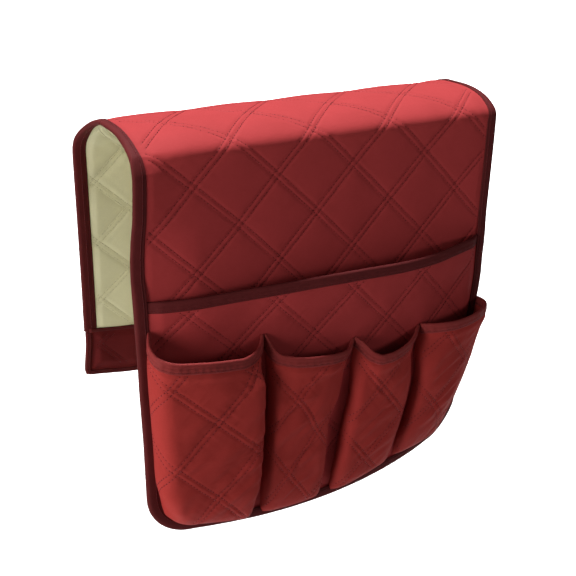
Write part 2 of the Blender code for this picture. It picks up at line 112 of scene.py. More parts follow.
def bottom_drop(x, inset):
    """Drop of the front panel's inset outline under a given x."""
    xe = HALF - CORNER
    ax = np.abs(x)
    base = BOTTOM - inset - BOW * (np.minimum(ax, xe) / HALF) ** 2
    r = CORNER - inset
    s = np.clip((ax - xe) / r, 0, 1)
    return base - r + r * np.sqrt(np.maximum(1 - s * s, 0))


def cloth_profile():
    """Smoothed outer profile over the arm, and its length from the ridge."""
    front = np.array(BEND) * [1, -1]
    t = np.linspace(math.pi / 2, math.radians(29), 300)
    back = np.stack([BACK_Y * np.cos(t) ** (2 / BACK_N),
                     BACK_DROP * (np.sin(t) ** (2 / BACK_N) - 1)], 1)
    k = np.linspace(0, 1, 100)
    bend = np.stack([(1 - k) ** 2 * 52 + 2 * k * (1 - k) * BACK_Y
                     + k * k * BACK_Y,
                     -((1 - k) ** 2 * 22.2 + 2 * k * (1 - k) * 29.6
                       + k * k * 40.0)], 1)
    down = np.stack([np.full(200, -FRONT_Y),
                     -np.linspace(370, 43.5, 200)], 1)
    up = np.stack([np.full(120, BACK_Y), -np.linspace(40.2, 270, 120)], 1)
    p = np.concatenate([down, front, back[back[:, 0] < 51.5], bend, up])
    p[:, 1] = np.minimum(p[:, 1], 0)
    d = np.r_[0, np.cumsum(np.hypot(*np.diff(p, axis=0).T))]
    keep = np.r_[True, np.diff(d) > 1e-9]
    p, d = p[keep], d[keep]
    s = np.arange(0, d[-1], 0.5)
    q = np.stack([np.interp(s, d, p[:, 0]), np.interp(s, d, p[:, 1])], 1)
    w = np.exp(-0.5 * (np.arange(-20, 21) * 0.5 / 1.7) ** 2)
    w /= w.sum()
    pad = np.pad(q, ((20, 20), (0, 0)), mode="reflect", reflect_type="odd")
    q = np.stack([np.convolve(pad[:, i], w, "valid") for i in (0, 1)], 1)
    d = np.r_[0, np.cumsum(np.hypot(*np.diff(q, axis=0).T))]
    i0 = np.argmin(np.abs(q[:, 0] + 3.5) + 1000 * (q[:, 1] < -15))
    return d - d[i0], q


PROF_S, PROF_Q = cloth_profile()


def prof(s):
    """(y, drop) of the outer side; s > 0 towards the front."""
    return (np.interp(-s, PROF_S, PROF_Q[:, 0]),
            -np.interp(-s, PROF_S, PROF_Q[:, 1]))


_s = np.linspace(60, 410, 1400)
FRONT_S = (_s, prof(_s)[1])
BACK_S = (_s, prof(-_s)[1])


def s_front(h):
    return np.interp(h, FRONT_S[1], FRONT_S[0])


def s_back(h):
    return np.interp(h, BACK_S[1], BACK_S[0])


def step(a, b, x):
    t = np.clip((x - a) / (b - a), 0, 1)
    return t * t * (3 - 2 * t)


def noise(x, y, cell, seed):
    """Smooth seeded value noise, -1 to 1."""
    gx, gy = x / cell, y / cell
    i, j = np.floor(gx), np.floor(gy)
    fx, fy = gx - i, gy - j
    fx, fy = fx * fx * (3 - 2 * fx), fy * fy * (3 - 2 * fy)

    def at(a, b):
        v = np.sin(a * 127.1 + b * 311.7 + seed * 74.7) * 43758.5453
        return 2 * (v - np.floor(v)) - 1
    return ((at(i, j) * (1 - fx) + at(i + 1, j) * fx) * (1 - fy)
            + (at(i, j + 1) * (1 - fx) + at(i + 1, j + 1) * fx) * fy)


def warp(p):
    """The hanging sheets sway a few mm from their flat pattern."""
    p = np.array(p, float)
    x, y, z = p[..., 0].copy(), p[..., 1].copy(), p[..., 2].copy()
    h = LIFT - z
    left = step(-60.0, -165.0, x)
    far = step(-112.0, -165.0, x)
    right = step(95.0, 165.0, x)
    front = y < 0
    out = np.interp(h, [4, 21, 62, 95, 200, 245, 340],
                    [0, 1.7, 3.2, 4.2, 4.0, 2.9, 2.6])
    back = np.interp(h, [66, 80, 95, 112, 127, 149, 184, 240, 330],
                     [0.6, 4.0, 6.0, 6.8, 6.2, 4.6, 2.6, 2.0, 1.4])
    end = step(-120.0, -163.0, x)
    sag = np.interp(-y, [-25, 0, 12, 24, 36, 42, 48, 54, 58.6, 63.5, 67.3],
                    [0, 0.7, 1.1, 1.8, 2.8, 3.4, 3.9, 4.0, 3.9, 3.3, 1.9])
    cut = np.interp(h, [0, 2.4, 4, 5.8, 8.7, 12.1, 16.6, 19.5, 22.5, 28.4,
                        34, 45, 56, 66],
                    [0, 0.6, 1.3, 2.2, 2.5, 2.9, 3.7, 3.1, 2.0, -0.5, -1.3,
                     -1.4, -0.8, 0])
    pull = np.interp(h, [40, 60, 90, 130, 147, 165, 180, 230, 330],
                     [0, 0.9, 1.9, 2.0, 1.5, 0.5, 0.7, 3.0, 3.4])
    p[..., 0] += np.where(front, -left * out - right * pull, 0)
    p[..., 1] += np.where(front, far * back * step(60.0, 70.0, h)
                          + end * cut * step(-15.0, -45.0, y), 0)
    p[..., 2] -= end * sag * (1 - step(15.0, 25.0, h)) * (y < 24.9)
    p[..., 2] += np.where(front, 1.6 * left * step(270.0, 335.0, h), 0)
    # the flap's lower left corner is lifted a little
    low = step(120.0, 236.0, h)
    p[..., 0] += np.where(front, 0, -left * (
        1.0 + 0.7 * low + 2.8 * step(206.0, 242.0, h)) * step(4.0, 30.0, h))
    p[..., 2] += np.where(front, 0, step(-112.0, -168.0, x) * 6.0 * low)
    return p


# ------------------------------------------------------------ quilting
PITCH = 49.3                   # between double lines, across them
GAP = 4.7                      # between the two lines of a pair


def off_line(f, pitch=PITCH):
    """Distance in mm from the middle of the nearest double line."""
    return np.abs(f - np.round(f)) * pitch


def quilt(u, v, along_u, along_v, height=0.95, soft=8.0, groove=0.6,
          pucker=0.14, seed=1):
    """Height of the quilted cloth over its stitch lines, in mm."""
    out = None
    lines = 0.0
    for f, run, k in ((u, along_u, 0), (v, along_v, 1)):
        a = off_line(f)
        g = GAP / 2
        away = 1 - np.exp(-np.maximum(a - g, 0) / soft)
        inside = 0.30 * np.clip(1 - (a / g) ** 2, 0, 1)
        lift = np.where(a > g, away, inside)
        out = lift if out is None else np.minimum(out, lift) * 0.35 \
            + 0.65 * out * lift
        lines = lines - groove * np.exp(-((a - g) / 0.85) ** 2)
        wave = noise(run, f * 9.0 + 31 * k, 3.6, seed + 5 * k)
        lines = lines + pucker * wave * np.exp(-(np.maximum(a - g, 0) / 7.0))
    return height * out + lines


# ------------------------------------------------------------ mesh making
def unit(v):
    return v / np.maximum(np.linalg.norm(v, axis=-1, keepdims=True), 1e-9)


def grid_normals(p, sign=1.0):
    """Unit normals of a (rows, columns, 3) grid."""
    dj, di = np.gradient(p, axis=0), np.gradient(p, axis=1)
    return unit(np.cross(di, dj)) * sign


def mesh_object(name, verts, faces, uv=None, mat_index=None, mats=(),
                smooth=True):
    me = bpy.data.meshes.new(name)
    if name != "floor":
        verts = warp(verts)
    me.from_pydata((np.asarray(verts) * MM).tolist(), [],
                   [tuple(f) for f in np.asarray(faces).tolist()]
                   if not isinstance(faces, list) else faces)
    if uv is not None:
        layer = me.uv_layers.new(name="cloth")
        loops = np.empty(len(me.loops), np.int32)
        me.loops.foreach_get("vertex_index", loops)
        layer.data.foreach_set(
            "uv", (np.asarray(uv)[loops] * MM).astype(np.float32).ravel())
    for m in mats:
        me.materials.append(m)
    if mat_index is not None:
        me.polygons.foreach_set("material_index",
                                np.asarray(mat_index, np.int32))
    me.polygons.foreach_set("use_smooth", [smooth] * len(me.polygons))
    me.update()
    obj = bpy.data.objects.new(name, me)
    bpy.context.scene.collection.objects.link(obj)
    return obj


def sheet_solid(name, outer, inner, uv, mats, edge_mat=0):
    """Closed thick sheet from two (rows, columns, 3) grids."""
    nj, ni = outer.shape[:2]
    n = nj * ni
    idx = np.arange(n).reshape(nj, ni)
    a, b = idx[:-1, :-1], idx[:-1, 1:]
    c, d = idx[1:, 1:], idx[1:, :-1]
    q = np.stack([a, b, c, d], -1).reshape(-1, 4)
    # see which way round the outer side faces
    mid = (nj // 2, ni // 2)
    e1 = outer[mid[0], mid[1] + 1] - outer[mid]
    e2 = outer[mid[0] + 1, mid[1]] - outer[mid]
    turn = np.dot(np.cross(e1, e2), outer[mid] - inner[mid]) < 0
    front = q[:, ::-1] if turn else q
    back = (q if turn else q[:, ::-1]) + n
    rim = []
    loop = np.concatenate([idx[0, :-1], idx[:-1, -1], idx[-1, :0:-1],
                           idx[:0:-1, 0]])
    for k in range(len(loop)):
        i, j = loop[k], loop[(k + 1) % len(loop)]
        rim.append((i, j, j + n, i + n) if turn else (j, i, i + n, j + n))
    faces = np.concatenate([front, back, np.array(rim)])
    index = np.r_[np.zeros(len(front)), np.ones(len(back)),
                  np.full(len(rim), edge_mat)]
    verts = np.concatenate([outer.reshape(-1, 3), inner.reshape(-1, 3)])
    uvs = np.concatenate([uv.reshape(-1, 2), uv.reshape(-1, 2)])
    return mesh_object(name, verts, faces, uvs, index, mats)


def sweep(name, rings, uv_len, mats, closed=False):
    """Closed body through rings of equal length, (stations, points, 3)."""
    rings = np.asarray(rings, float)
    ns, m = rings.shape[:2]
    idx = np.arange(ns * m).reshape(ns, m)
    nxt = np.roll(idx, -1, axis=1)
    q = np.stack([idx[:-1], nxt[:-1], nxt[1:], idx[1:]], -1).reshape(-1, 4)
    faces = [tuple(f) for f in q.tolist()]
    if closed:
        q = np.stack([idx[-1], nxt[-1], nxt[0], idx[0]], -1)
        faces += [tuple(f) for f in q.tolist()]
    else:
        faces += [tuple(idx[0][::-1].tolist()), tuple(idx[-1].tolist())]
    # turn the faces out
    c = rings.mean(axis=1)
    f = np.array(faces[:len(q)] if not closed else faces)[:, :4] \
        if closed else q
    p = rings.reshape(-1, 3)
    nrm = np.cross(p[f[:, 1]] - p[f[:, 0]], p[f[:, 2]] - p[f[:, 0]])
    vol = (np.einsum("ij,ij->i", nrm, p[f[:, 0]] - c.mean(0))).sum()
    if vol < 0:
        faces = [t[::-1] for t in faces]
    around = np.r_[0, np.cumsum(np.linalg.norm(
        np.diff(rings[ns // 2], axis=0), axis=1))]
    uv = np.stack(np.broadcast_arrays(np.asarray(uv_len)[:, None],
                                      around[None, :]), -1)
    return mesh_object(name, p, faces, uv.reshape(-1, 2),
                       np.zeros(len(faces)), mats)


def resample(line, pitch):
    d = np.r_[0, np.cumsum(np.linalg.norm(np.diff(line, axis=0), axis=1))]
    n = max(int(d[-1] / pitch), 1)
    t = np.linspace(0, d[-1], n + 1)
    return np.stack([np.interp(t, d, line[:, k])
                     for k in range(line.shape[1])], 1), t


GRAIN_T = np.array([-1.0, -0.72, 0.0, 0.72, 1.0])
GRAIN_R = np.array([0.35, 0.85, 1.0, 0.85, 0.35])


def stitch_mesh(name, lines, mats, pitch=3.3, length=2.5, width=0.5,
                lift=0.0, hole=0.52):
    """Short stitches along many lines of (x, y, z, nx, ny, nz), with small dark
    marks at the needle holes that they go through; the marks are painted shade
    of the holes, and hole sets their size."""
    cs, ts, ns, kind = [], [], [], []
    for line in lines:
        if len(line) < 3:
            continue
        p, t = resample(np.asarray(line), pitch)
        if len(p) < 3:
            continue
        mid = (p[1:] + p[:-1]) / 2
        cs += [mid[:, :3], p[:-1, :3]]
        d = unit(np.diff(p[:, :3], axis=0))
        ts += [d, d]
        ns += [unit(mid[:, 3:6]), unit(p[:-1, 3:6])]
        kind += [np.zeros(len(mid)), np.ones(len(mid))]
    if not cs:
        return None
    c, t, n = np.concatenate(cs), np.concatenate(ts), np.concatenate(ns)
    kind = np.concatenate(kind)[:, None]
    # kind 1 are the needle-hole marks: small blobs whose dark colour is painted shade of the holes
    long_ = np.where(kind > 0, 2.1 * hole, length)
    wide = np.where(kind > 0, 1.7 * hole, width)
    tall = np.where(kind > 0, 0.62, width)
    sink = np.where(kind > 0, lift + 0.02, lift)
    b = unit(np.cross(t, n))
    n = unit(np.cross(b, t))
    sides = 6
    ang = 2 * np.pi * np.arange(sides) / sides
    ring = []
    for gt, gr in zip(GRAIN_T, GRAIN_R):
        for a in ang:
            ring.append(c + t * (gt * long_ / 2)
                        + b * (math.cos(a) * gr * wide / 2)
                        + n * (math.sin(a) * gr * tall / 2 + sink))
    p = np.stack(ring, 1)                    # (stitches, 30, 3)
    m = p.shape[1]
    base = []
    for r in range(len(GRAIN_T) - 1):
        for k in range(sides):
            k2 = (k + 1) % sides
            base.append((r * sides + k, (r + 1) * sides + k,
                         (r + 1) * sides + k2, r * sides + k2))
    base = np.array(base)
    quads = (base[None] + (np.arange(len(p)) * m)[:, None, None]
             ).reshape(-1, 4)
    faces = [tuple(f) for f in quads.tolist()]
    for s in (np.arange(len(p)) * m).tolist():
        faces.append(tuple(s + k for k in range(sides)))
        faces.append(tuple(s + 4 * sides + k
                           for k in range(sides - 1, -1, -1)))
    uv = np.stack([p[..., 0] + p[..., 1], p[..., 2]], -1)
    # material 1 gives the hole marks their dark painted-shade colour
    per = kind[:, 0]
    index = np.r_[np.repeat(per, len(base)), np.repeat(per, 2)]
    return mesh_object(name, p.reshape(-1, 3), faces, uv.reshape(-1, 2),
                       index, mats)


def lines_on(field, p, n, gap=GAP, pitch=PITCH, keep=None):
    """Stitch lines where a rising field crosses whole numbers +- gap/2."""
    out = []
    nj, ni = field.shape
    col = np.arange(ni)
    lo, hi = math.floor(field.min()) - 1, math.ceil(field.max()) + 1
    for k in range(lo, hi + 1):
        for side in (-1, 1):
            target = k + side * gap / 2 / pitch
            run = []
            for j in range(nj):
                f = field[j]
                if not f[0] < target < f[-1]:
                    if len(run) > 3:
                        out.append(np.array(run))
                    run = []
                    continue
                x = np.interp(target, f, col)
                i = min(int(x), ni - 2)
                w = x - i
                if keep is not None and not keep[j, i]:
                    if len(run) > 3:
                        out.append(np.array(run))
                    run = []
                    continue
                run.append(np.r_[p[j, i] * (1 - w) + p[j, i + 1] * w,
                                 n[j, i] * (1 - w) + n[j, i + 1] * w])
            if len(run) > 3:
                out.append(np.array(run))
    return out


# ------------------------------------------------------------ materials
def fabric(name, dark, light, rough=0.62, sheen=0.03, sheen_rough=0.4,
           tint=(1.0, 0.75, 0.75, 1.0), weave=0.00042, bump=0.25,
           blotch=26.0, grain=0.35, spec=0.02):
    """Woven polyester: thread relief, brushed grain, uneven dye."""
    m = bpy.data.materials.new(name)
    m.use_nodes = True
    nt = m.node_tree
    nt.nodes.clear()
    out = nt.nodes.new("ShaderNodeOutputMaterial")
    b = nt.nodes.new("ShaderNodeBsdfPrincipled")
    nt.links.new(b.outputs["BSDF"], out.inputs["Surface"])
    b.inputs["Sheen Weight"].default_value = sheen
    b.inputs["Sheen Roughness"].default_value = sheen_rough
    b.inputs["Sheen Tint"].default_value = tint
    b.inputs["Specular IOR Level"].default_value = spec
    tc = nt.nodes.new("ShaderNodeTexCoord")

    def noise_node(scale, detail=3.0, rough_=0.6, vec=None):
        n = nt.nodes.new("ShaderNodeTexNoise")
        n.inputs["Scale"].default_value = scale
        n.inputs["Detail"].default_value = detail
        n.inputs["Roughness"].default_value = rough_
        nt.links.new(vec or tc.outputs["UV"], n.inputs["Vector"])
        return n
    big = noise_node(blotch, 4.0, 0.62)
    fine = noise_node(520.0, 3.0, 0.7)
    stretch = nt.nodes.new("ShaderNodeMapping")
    stretch.inputs["Scale"].default_value = (1.0, 5.0, 1.0)
    nt.links.new(tc.outputs["UV"], stretch.inputs["Vector"])
    brushed = noise_node(240.0, 2.0, 0.6, stretch.outputs["Vector"])
    waves = []
    for axis in ("X", "Y"):
        w = nt.nodes.new("ShaderNodeTexWave")
        w.wave_type = "BANDS"
        w.bands_direction = axis
        w.inputs["Scale"].default_value = 0.314 / weave
        w.inputs["Distortion"].default_value = 1.2
        w.inputs["Detail"].default_value = 1.0
        w.inputs["Detail Scale"].default_value = 0.6
        nt.links.new(tc.outputs["UV"], w.inputs["Vector"])
        waves.append(w)

    def math_node(op, a, b_, clamp=False):
        n = nt.nodes.new("ShaderNodeMath")
        n.operation = op
        n.use_clamp = clamp
        for sock, val in zip(n.inputs, (a, b_)):
            if isinstance(val, (int, float)):
                sock.default_value = val
            else:
                nt.links.new(val, sock)
        return n.outputs[0]
    cloth = math_node("MULTIPLY", waves[0].outputs["Fac"],
                      waves[1].outputs["Fac"])
    tone = math_node("MULTIPLY_ADD", big.outputs["Fac"], 0.55)
    tone.node.inputs[2].default_value = 0.0
    tone2 = math_node("MULTIPLY_ADD", fine.outputs["Fac"], grain)
    nt.links.new(tone, tone2.node.inputs[2])
    tone3 = math_node("MULTIPLY_ADD", brushed.outputs["Fac"], 0.30)
    nt.links.new(tone2, tone3.node.inputs[2])
    ramp = nt.nodes.new("ShaderNodeValToRGB")
    ramp.color_ramp.elements[0].position = 0.36
    ramp.color_ramp.elements[0].color = (*dark, 1.0)
    ramp.color_ramp.elements[1].position = 0.90
    ramp.color_ramp.elements[1].color = (*light, 1.0)
    nt.links.new(tone3, ramp.inputs["Fac"])
    nt.links.new(ramp.outputs["Color"], b.inputs["Base Color"])
    r = nt.nodes.new("ShaderNodeMapRange")
    r.inputs["To Min"].default_value = rough - 0.07
    r.inputs["To Max"].default_value = rough + 0.07
    nt.links.new(brushed.outputs["Fac"], r.inputs["Value"])
    nt.links.new(r.outputs["Result"], b.inputs["Roughness"])
    h = math_node("MULTIPLY_ADD", cloth, 0.5)
    nt.links.new(fine.outputs["Fac"], h.node.inputs[2])
    bp = nt.nodes.new("ShaderNodeBump")
    bp.inputs["Strength"].default_value = bump
    bp.inputs["Distance"].default_value = 0.00035
    nt.links.new(h, bp.inputs["Height"])
    nt.links.new(bp.outputs["Normal"], b.inputs["Normal"])
    return m


WARM = (1.0, 0.16, 0.18, 1.0)
RED = fabric("quilted_red_face", (0.262, 0.0288, 0.0286),
             (0.325, 0.0362, 0.0368), tint=WARM)
POCKET_RED = fabric("pocket_red_face", (0.255, 0.0258, 0.0215),
                    (0.320, 0.0325, 0.0283), blotch=34.0, tint=WARM)
TAPE = fabric("maroon_tape", (0.068, 0.0103, 0.0104),
              (0.097, 0.0148, 0.0150), rough=0.6, sheen=0.02, spec=0.03,
              weave=0.00055, bump=0.35, blotch=60.0, tint=WARM)
MOUTH_TAPE = fabric("pocket_mouth_tape", (0.160, 0.0205, 0.0190),
                    (0.220, 0.0285, 0.0268), rough=0.55, sheen=0.06,
                    spec=0.05, weave=0.00055, bump=0.35, blotch=60.0,
                    tint=WARM)
LINING = fabric("beige_lining", (0.634, 0.598, 0.388), (0.713, 0.671, 0.438),
                rough=0.75, tint=(1, 1, 0.85, 1), weave=0.0005, bump=0.3)
# painted shade: a darker copy of the red cloth for the tuck band, which hangs in the front panel's shade
PAINTED_SHADE_BAND = fabric("tuck_band_painted_shade", (0.090, 0.0105, 0.0110),
                  (0.130, 0.0150, 0.0155), tint=WARM)
THREAD = fabric("red_thread", (0.225, 0.0225, 0.0235),
                (0.300, 0.0310, 0.0330), rough=0.5, bump=0.4,
                weave=0.0003, tint=WARM, spec=0.15)
# painted shade: a dark red for the marks at the needle holes, standing in for the shade inside each hole
PAINTED_NEEDLE_SHADE = fabric("painted_needle_shade", (0.105, 0.0125, 0.0132),
              (0.140, 0.0165, 0.0175), rough=0.8, sheen=0.0, bump=0.2,
              weave=0.0003, tint=WARM, spec=0.03)
DARK_THREAD = fabric("maroon_thread", (0.070, 0.0085, 0.0100),
                     (0.100, 0.0125, 0.0150), rough=0.5, bump=0.4,
                     weave=0.0003, tint=WARM, spec=0.15)
LINING_THREAD = fabric("beige_thread", (0.616, 0.576, 0.374),
                       (0.695, 0.654, 0.425), rough=0.6, bump=0.4,
                       weave=0.0003, tint=(1, 1, 0.85, 1), spec=0.12)
# painted shade: a slightly darker beige for the marks at the lining's needle holes, standing in for the
# shade inside each hole
LINING_PAINTED_NEEDLE_SHADE = fabric("beige_painted_needle_shade", (0.528, 0.495, 0.315),
                     (0.598, 0.559, 0.357), rough=0.8, sheen=0.0, bump=0.2,
                     weave=0.0003, tint=(1, 1, 0.85, 1), spec=0.03)
SEWN = [THREAD, PAINTED_NEEDLE_SHADE]
LINING_SEWN = [LINING_THREAD, LINING_PAINTED_NEEDLE_SHADE]
TAPE_SEWN = [DARK_THREAD, PAINTED_NEEDLE_SHADE]


# ------------------------------------------------------------ main quilt
def main_lattice(x, s):
    """Quilting coordinates of the long panel."""
    k = np.clip((s - 60) / 35.0, -1.5, 2.0)
    a = 0.013937 + (0.014230 - 0.013937) * k
    b = 2.2021 + (2.1905 - 2.2021) * k
    xx = a * x + b
    yy = (s - 60.5) / 68.8
    return xx + yy, xx - yy


EDGE_T = 3.0                   # the quilt is pinched inside its tape


def flap_lattice(x, h):
    """Quilting on the flap's arm side."""
    xx = (x + 149.5) / 58.0
    yy = (h - 64.3) / 52.4
    return xx + yy, xx - yy


def panel_half(front):
    """Outer and inner grids of one half of the quilted panel."""
    edge = HALF - 1.5
    x = np.linspace(-edge, edge, 221)
    if front:
        low = bottom_drop(x, 1.5)
        end = s_front(low)
        rows = 276
    else:
        end = np.full_like(x, s_back(BACK_BOTTOM - 0.3))
        rows = 150
    t = np.linspace(0, 1, rows)[:, None]
    s = t * end[None, :]
    xx = np.broadcast_to(x, s.shape)
    ss = s if front else -s
    y, h = prof(ss)
    if front:
        y = y + curl(xx, h)
    # a hanging cloth is never quite flat
    wave = 0.7 * noise(xx, ss, 120.0, 3) + 0.35 * noise(xx, ss, 47.0, 4)
    base = np.stack([xx, y, LIFT - h], -1)
    n = grid_normals(base)
    if n[0, 110, 2] < 0:
        n = -n
    # distance from the bound edges
    side = edge - np.abs(xx)
    if front:
        below = low[None, :] - h
        rim = np.minimum(side, below)
    else:
        rim = side
    free = step(7.5, 14.5, rim)
    u, v = main_lattice(xx, ss)
    along = (xx + ss), (xx - ss)
    relief = quilt(u, v, along[1], along[0], seed=11)
    settle = step(6.0, 40.0, rim) * (0.5 + 0.5 * step(25, 60, np.abs(ss)))
    outer = base + n * ((relief + 0.15) * free - 0.05
                        + wave * settle)[..., None]
    if front:
        u2, v2 = u, v
    else:
        u2, v2 = flap_lattice(xx, h)
    back_relief = quilt(u2, v2, along[1], along[0], height=0.7, soft=8.5,
                        groove=0.4, pucker=0.2, seed=21)
    thick = EDGE_T + (PANEL_T - 0.6 - EDGE_T) * step(7.5, 16.0, rim)
    inner = base - n * (thick + (back_relief - 0.65) * free
                        - wave * settle)[..., None]
    uv = np.stack([xx, ss], -1)
    return outer, inner, uv, n, (u, v), (u2, v2), free


MATS = [RED, LINING]
pieces = {}
halves = {}
for front in (True, False):
    outer, inner, uv, n, lat, lat_in, free = panel_half(front)
    name = "front_quilt" if front else "back_quilt"
    obj = sheet_solid(name, outer, inner, uv, MATS, edge_mat=0)
    pieces[name] = obj
    halves[name] = (outer, inner, n, lat, free)
    keep = free > 0.2
    lines = []
    under = []
    for f in lat:
        lines += lines_on(f, outer, n, keep=keep)
    for f in lat_in:
        under += lines_on(f, inner, -n, keep=keep)
    pieces[name + "_stitches"] = stitch_mesh(
        name + "_stitches", lines, SEWN, lift=0.05)
    pieces[name + "_lining_stitches"] = stitch_mesh(
        name + "_lining_stitches", under, LINING_SEWN, lift=0.05)

FRONT_BLEND = dict(start=(0, -0.0671, -0.0035), end=(0, -0.0671, -0.0335))
BACK_BLEND = dict(start=(0, 0.06175, -0.022), end=(0, 0.06175, -0.052))


# ------------------------------------------------------------ edge tapes
def tape_section(width_out, width_in, t_out, t_in, puff=0.16, thick=0.55,
                 crease=0.0, n_leaf=12, n_fold=9):
    """U-shaped section as (w, h, loose): w inwards from the edge."""
    g = 0.05
    top, low = t_out + g + thick, -(t_in + g + thick)
    half = (top - low) / 2
    mid = (top + low) / 2
    bulge = min(half, 3.0)
    pts = []
    # outer leaf, from its inner end to the fold
    for k in range(n_leaf + 1):
        f = k / n_leaf
        w = width_out + (bulge - width_out) * f
        d = width_out - w
        h = top + puff * math.sin(math.pi * min(f * 1.02, 1)) ** 0.8
        h -= 0.30 * math.exp(-((d - 1.6) / 0.7) ** 2)
        h -= crease * math.exp(-((w - 3.3) / 0.75) ** 2)
        if k == 0:
            h -= 0.32
        pts.append((w, h, math.sin(math.pi * f)))
    for k in range(1, n_fold):
        a = math.pi * k / n_fold
        pts.append((bulge - (bulge + 0.5) * math.sin(a) ** 0.85,
                    mid + half * math.cos(a), 0.0))
    for k in range(n_leaf + 1):
        f = k / n_leaf
        w = bulge + (width_in - bulge) * f
        d = width_in - w
        h = low - puff * 0.6 * math.sin(math.pi * f)
        h += 0.30 * math.exp(-((d - 1.6) / 0.7) ** 2)
        if k == n_leaf:
            h += 0.32
        pts.append((w, h, -math.sin(math.pi * f)))
    # back along the inside
    ih, il = t_out + g, -(t_in + g)
    pts.append((width_in - 0.15, il, 0))
    pts.append((bulge, il, 0))
    for k in range(1, 4):
        a = math.pi * (1 - k / 4)
        pts.append((bulge - (bulge - 0.4) * math.sin(a),
                    (ih + il) / 2 + (ih - il) / 2 * math.cos(a), 0))
    pts.append((bulge, ih, 0))
    pts.append((width_out - 0.15, ih, 0))
    return np.array(pts)


def tape(name, edge, inward, out, sections, mats, seed, pucker=0.13,
         period=5.5, thread=None, stitch_w=None, both=True):
    """Binding tape along a path; returns the tape and its stitches."""
    d = np.r_[0, np.cumsum(np.linalg.norm(np.diff(edge, axis=0), axis=1))]
    rings = []
    for k in range(len(edge)):
        sec = sections[k] if len(sections) > 1 else sections[0]
        rip = pucker * (math.sin(2 * math.pi * d[k] / period
                                 + 2.2 * math.sin(d[k] / 23.0 + seed))
                        + 0.8 * float(noise(np.array(d[k]),
                                            np.array(7.7 * seed), 4.0, seed)))
        w, h, loose = sec[:, 0], sec[:, 1], sec[:, 2]
        hh = h + rip * loose
        ww = w + 0.12 * rip
        rings.append(edge[k] + inward[k] * ww[:, None] + out[k] * hh[:, None])
    rings = np.array(rings)
    obj = sweep(name, rings, d, mats)
    if thread is None:
        return obj, None
    sec0 = sections[0]
    # stitches in the groove of each leaf
    lines = []
    n_leaf = 12
    k_out = int(np.argmin(np.abs((sec0[0, 0] - sec0[:n_leaf, 0]) - 1.7)))
    lines.append(np.concatenate([rings[:, k_out] + out * 0.05, out], 1))
    if both:
        m = n_leaf + 9
        leaf = sec0[m:m + n_leaf + 1]
        k_in = m + int(np.argmin(np.abs((leaf[-1, 0] - leaf[:, 0]) - 1.7)))
        lines.append(np.concatenate([rings[:, k_in] - out * 0.05, -out], 1))
    st = stitch_mesh(name + "_stitches", lines, thread, pitch=3.0,
                     length=2.2, width=0.42, hole=0.34)
    return obj, st


def saddle_path(front, sx, pitch=2.4):
    """Edge stations from the ridge down one side, to the hanging part."""
    end = s_front(60.0) if front else s_back(BACK_BOTTOM - 0.3)
    s = np.arange(0, end, pitch)
    return s


def frame_on(x, s, front=True):
    """Edge point, down-cloth tangent and outward normal at (x, s)."""
    def at(xa, sa):
        y, h = prof(sa)
        if front:
            y = y + curl(xa, h)
        return np.stack([xa * np.ones_like(y), y, LIFT - h], -1)
    e = 0.4
    p = at(x, s)
    ds = (at(x, s + e) - at(x, s - e))
    dx = (at(x + e, s) - at(x - e, s))
    n = unit(np.cross(dx, ds))
    flip = n[..., 2] - 0.2 * n[..., 1] * (1 if front else -1) < 0
    n = np.where((np.sum(n * np.array([0, 0, 1.0]), -1) < -0.05)[..., None],
                 -n, n)
    if front:
        n = np.where((n[..., 1] > 0.3)[..., None], -n, n)
    else:
        n = np.where((n[..., 1] < -0.3)[..., None], -n, n)
    return p, unit(ds), unit(dx), n


# one tape: down the left side, round the bottom, up the right side
def front_outline(pitch=2.4):
    xe = HALF - CORNER
    xb = np.linspace(-xe, xe, int(2 * xe / pitch))
    low = np.stack([xb, BOTTOM - BOW * (xb / HALF) ** 2], 1)
    cz = low[0, 1] - CORNER
    a = np.linspace(0, math.pi / 2, int(CORNER * 1.57 / pitch))[1:]
    right = np.stack([xe + CORNER * np.sin(a), cz + CORNER * np.cos(a)], 1)
    left = right[::-1] * [-1, 1]
    return left, low, right


left, low, right = front_outline()
s_side = np.arange(0, s_front(left[0, 1]) - 1.0, 2.4)
path_x, path_s, nx_, ns_ = [], [], [], []
for s in s_side:
    path_x.append(-HALF), path_s.append(s), nx_.append(1.0), ns_.append(0.0)
arc = np.concatenate([left, low, right])
tan = np.gradient(arc, axis=0)
for (x, h), (tx, th) in zip(arc, tan):
    ln = math.hypot(tx, th)
    # inwards is up from the bottom
    path_x.append(x), path_s.append(s_front(h))
    nx_.append(th / ln), ns_.append(-tx / ln)
for s in s_side[::-1]:
    path_x.append(HALF), path_s.append(s), nx_.append(-1.0), ns_.append(0.0)
path_x, path_s = np.array(path_x), np.array(path_s)
nx_, ns_ = np.array(nx_), np.array(ns_)
p, ds, dx, n = frame_on(path_x, path_s)
inward = unit(dx * nx_[:, None] + ds * ns_[:, None])
drop = prof(path_s)[1]
lift = 1.4 * step(MAG_TOP - 22, MAG_TOP - 4, drop) \
    + 0.5 * np.exp(-((drop - MAG_TOP - 4) / 7.0) ** 2) \
    + 0.8 * step(285.0, 305.0, drop)
wide = (TAPE_W - 0.3) * (0.66 + 0.34 * step(1.0, 27.0, drop))
secs = [tape_section(b, 9.2, a, EDGE_T) for a, b in zip(lift, wide)]
# the outer fold tucks in a little, so that the outline stays the CAD's
obj, st = tape("front_edge_tape", p + inward * 0.5, inward, n, secs, [TAPE],
               seed=2, thread=TAPE_SEWN)
pieces["front_edge_tape"], pieces["front_edge_tape_stitches"] = obj, st

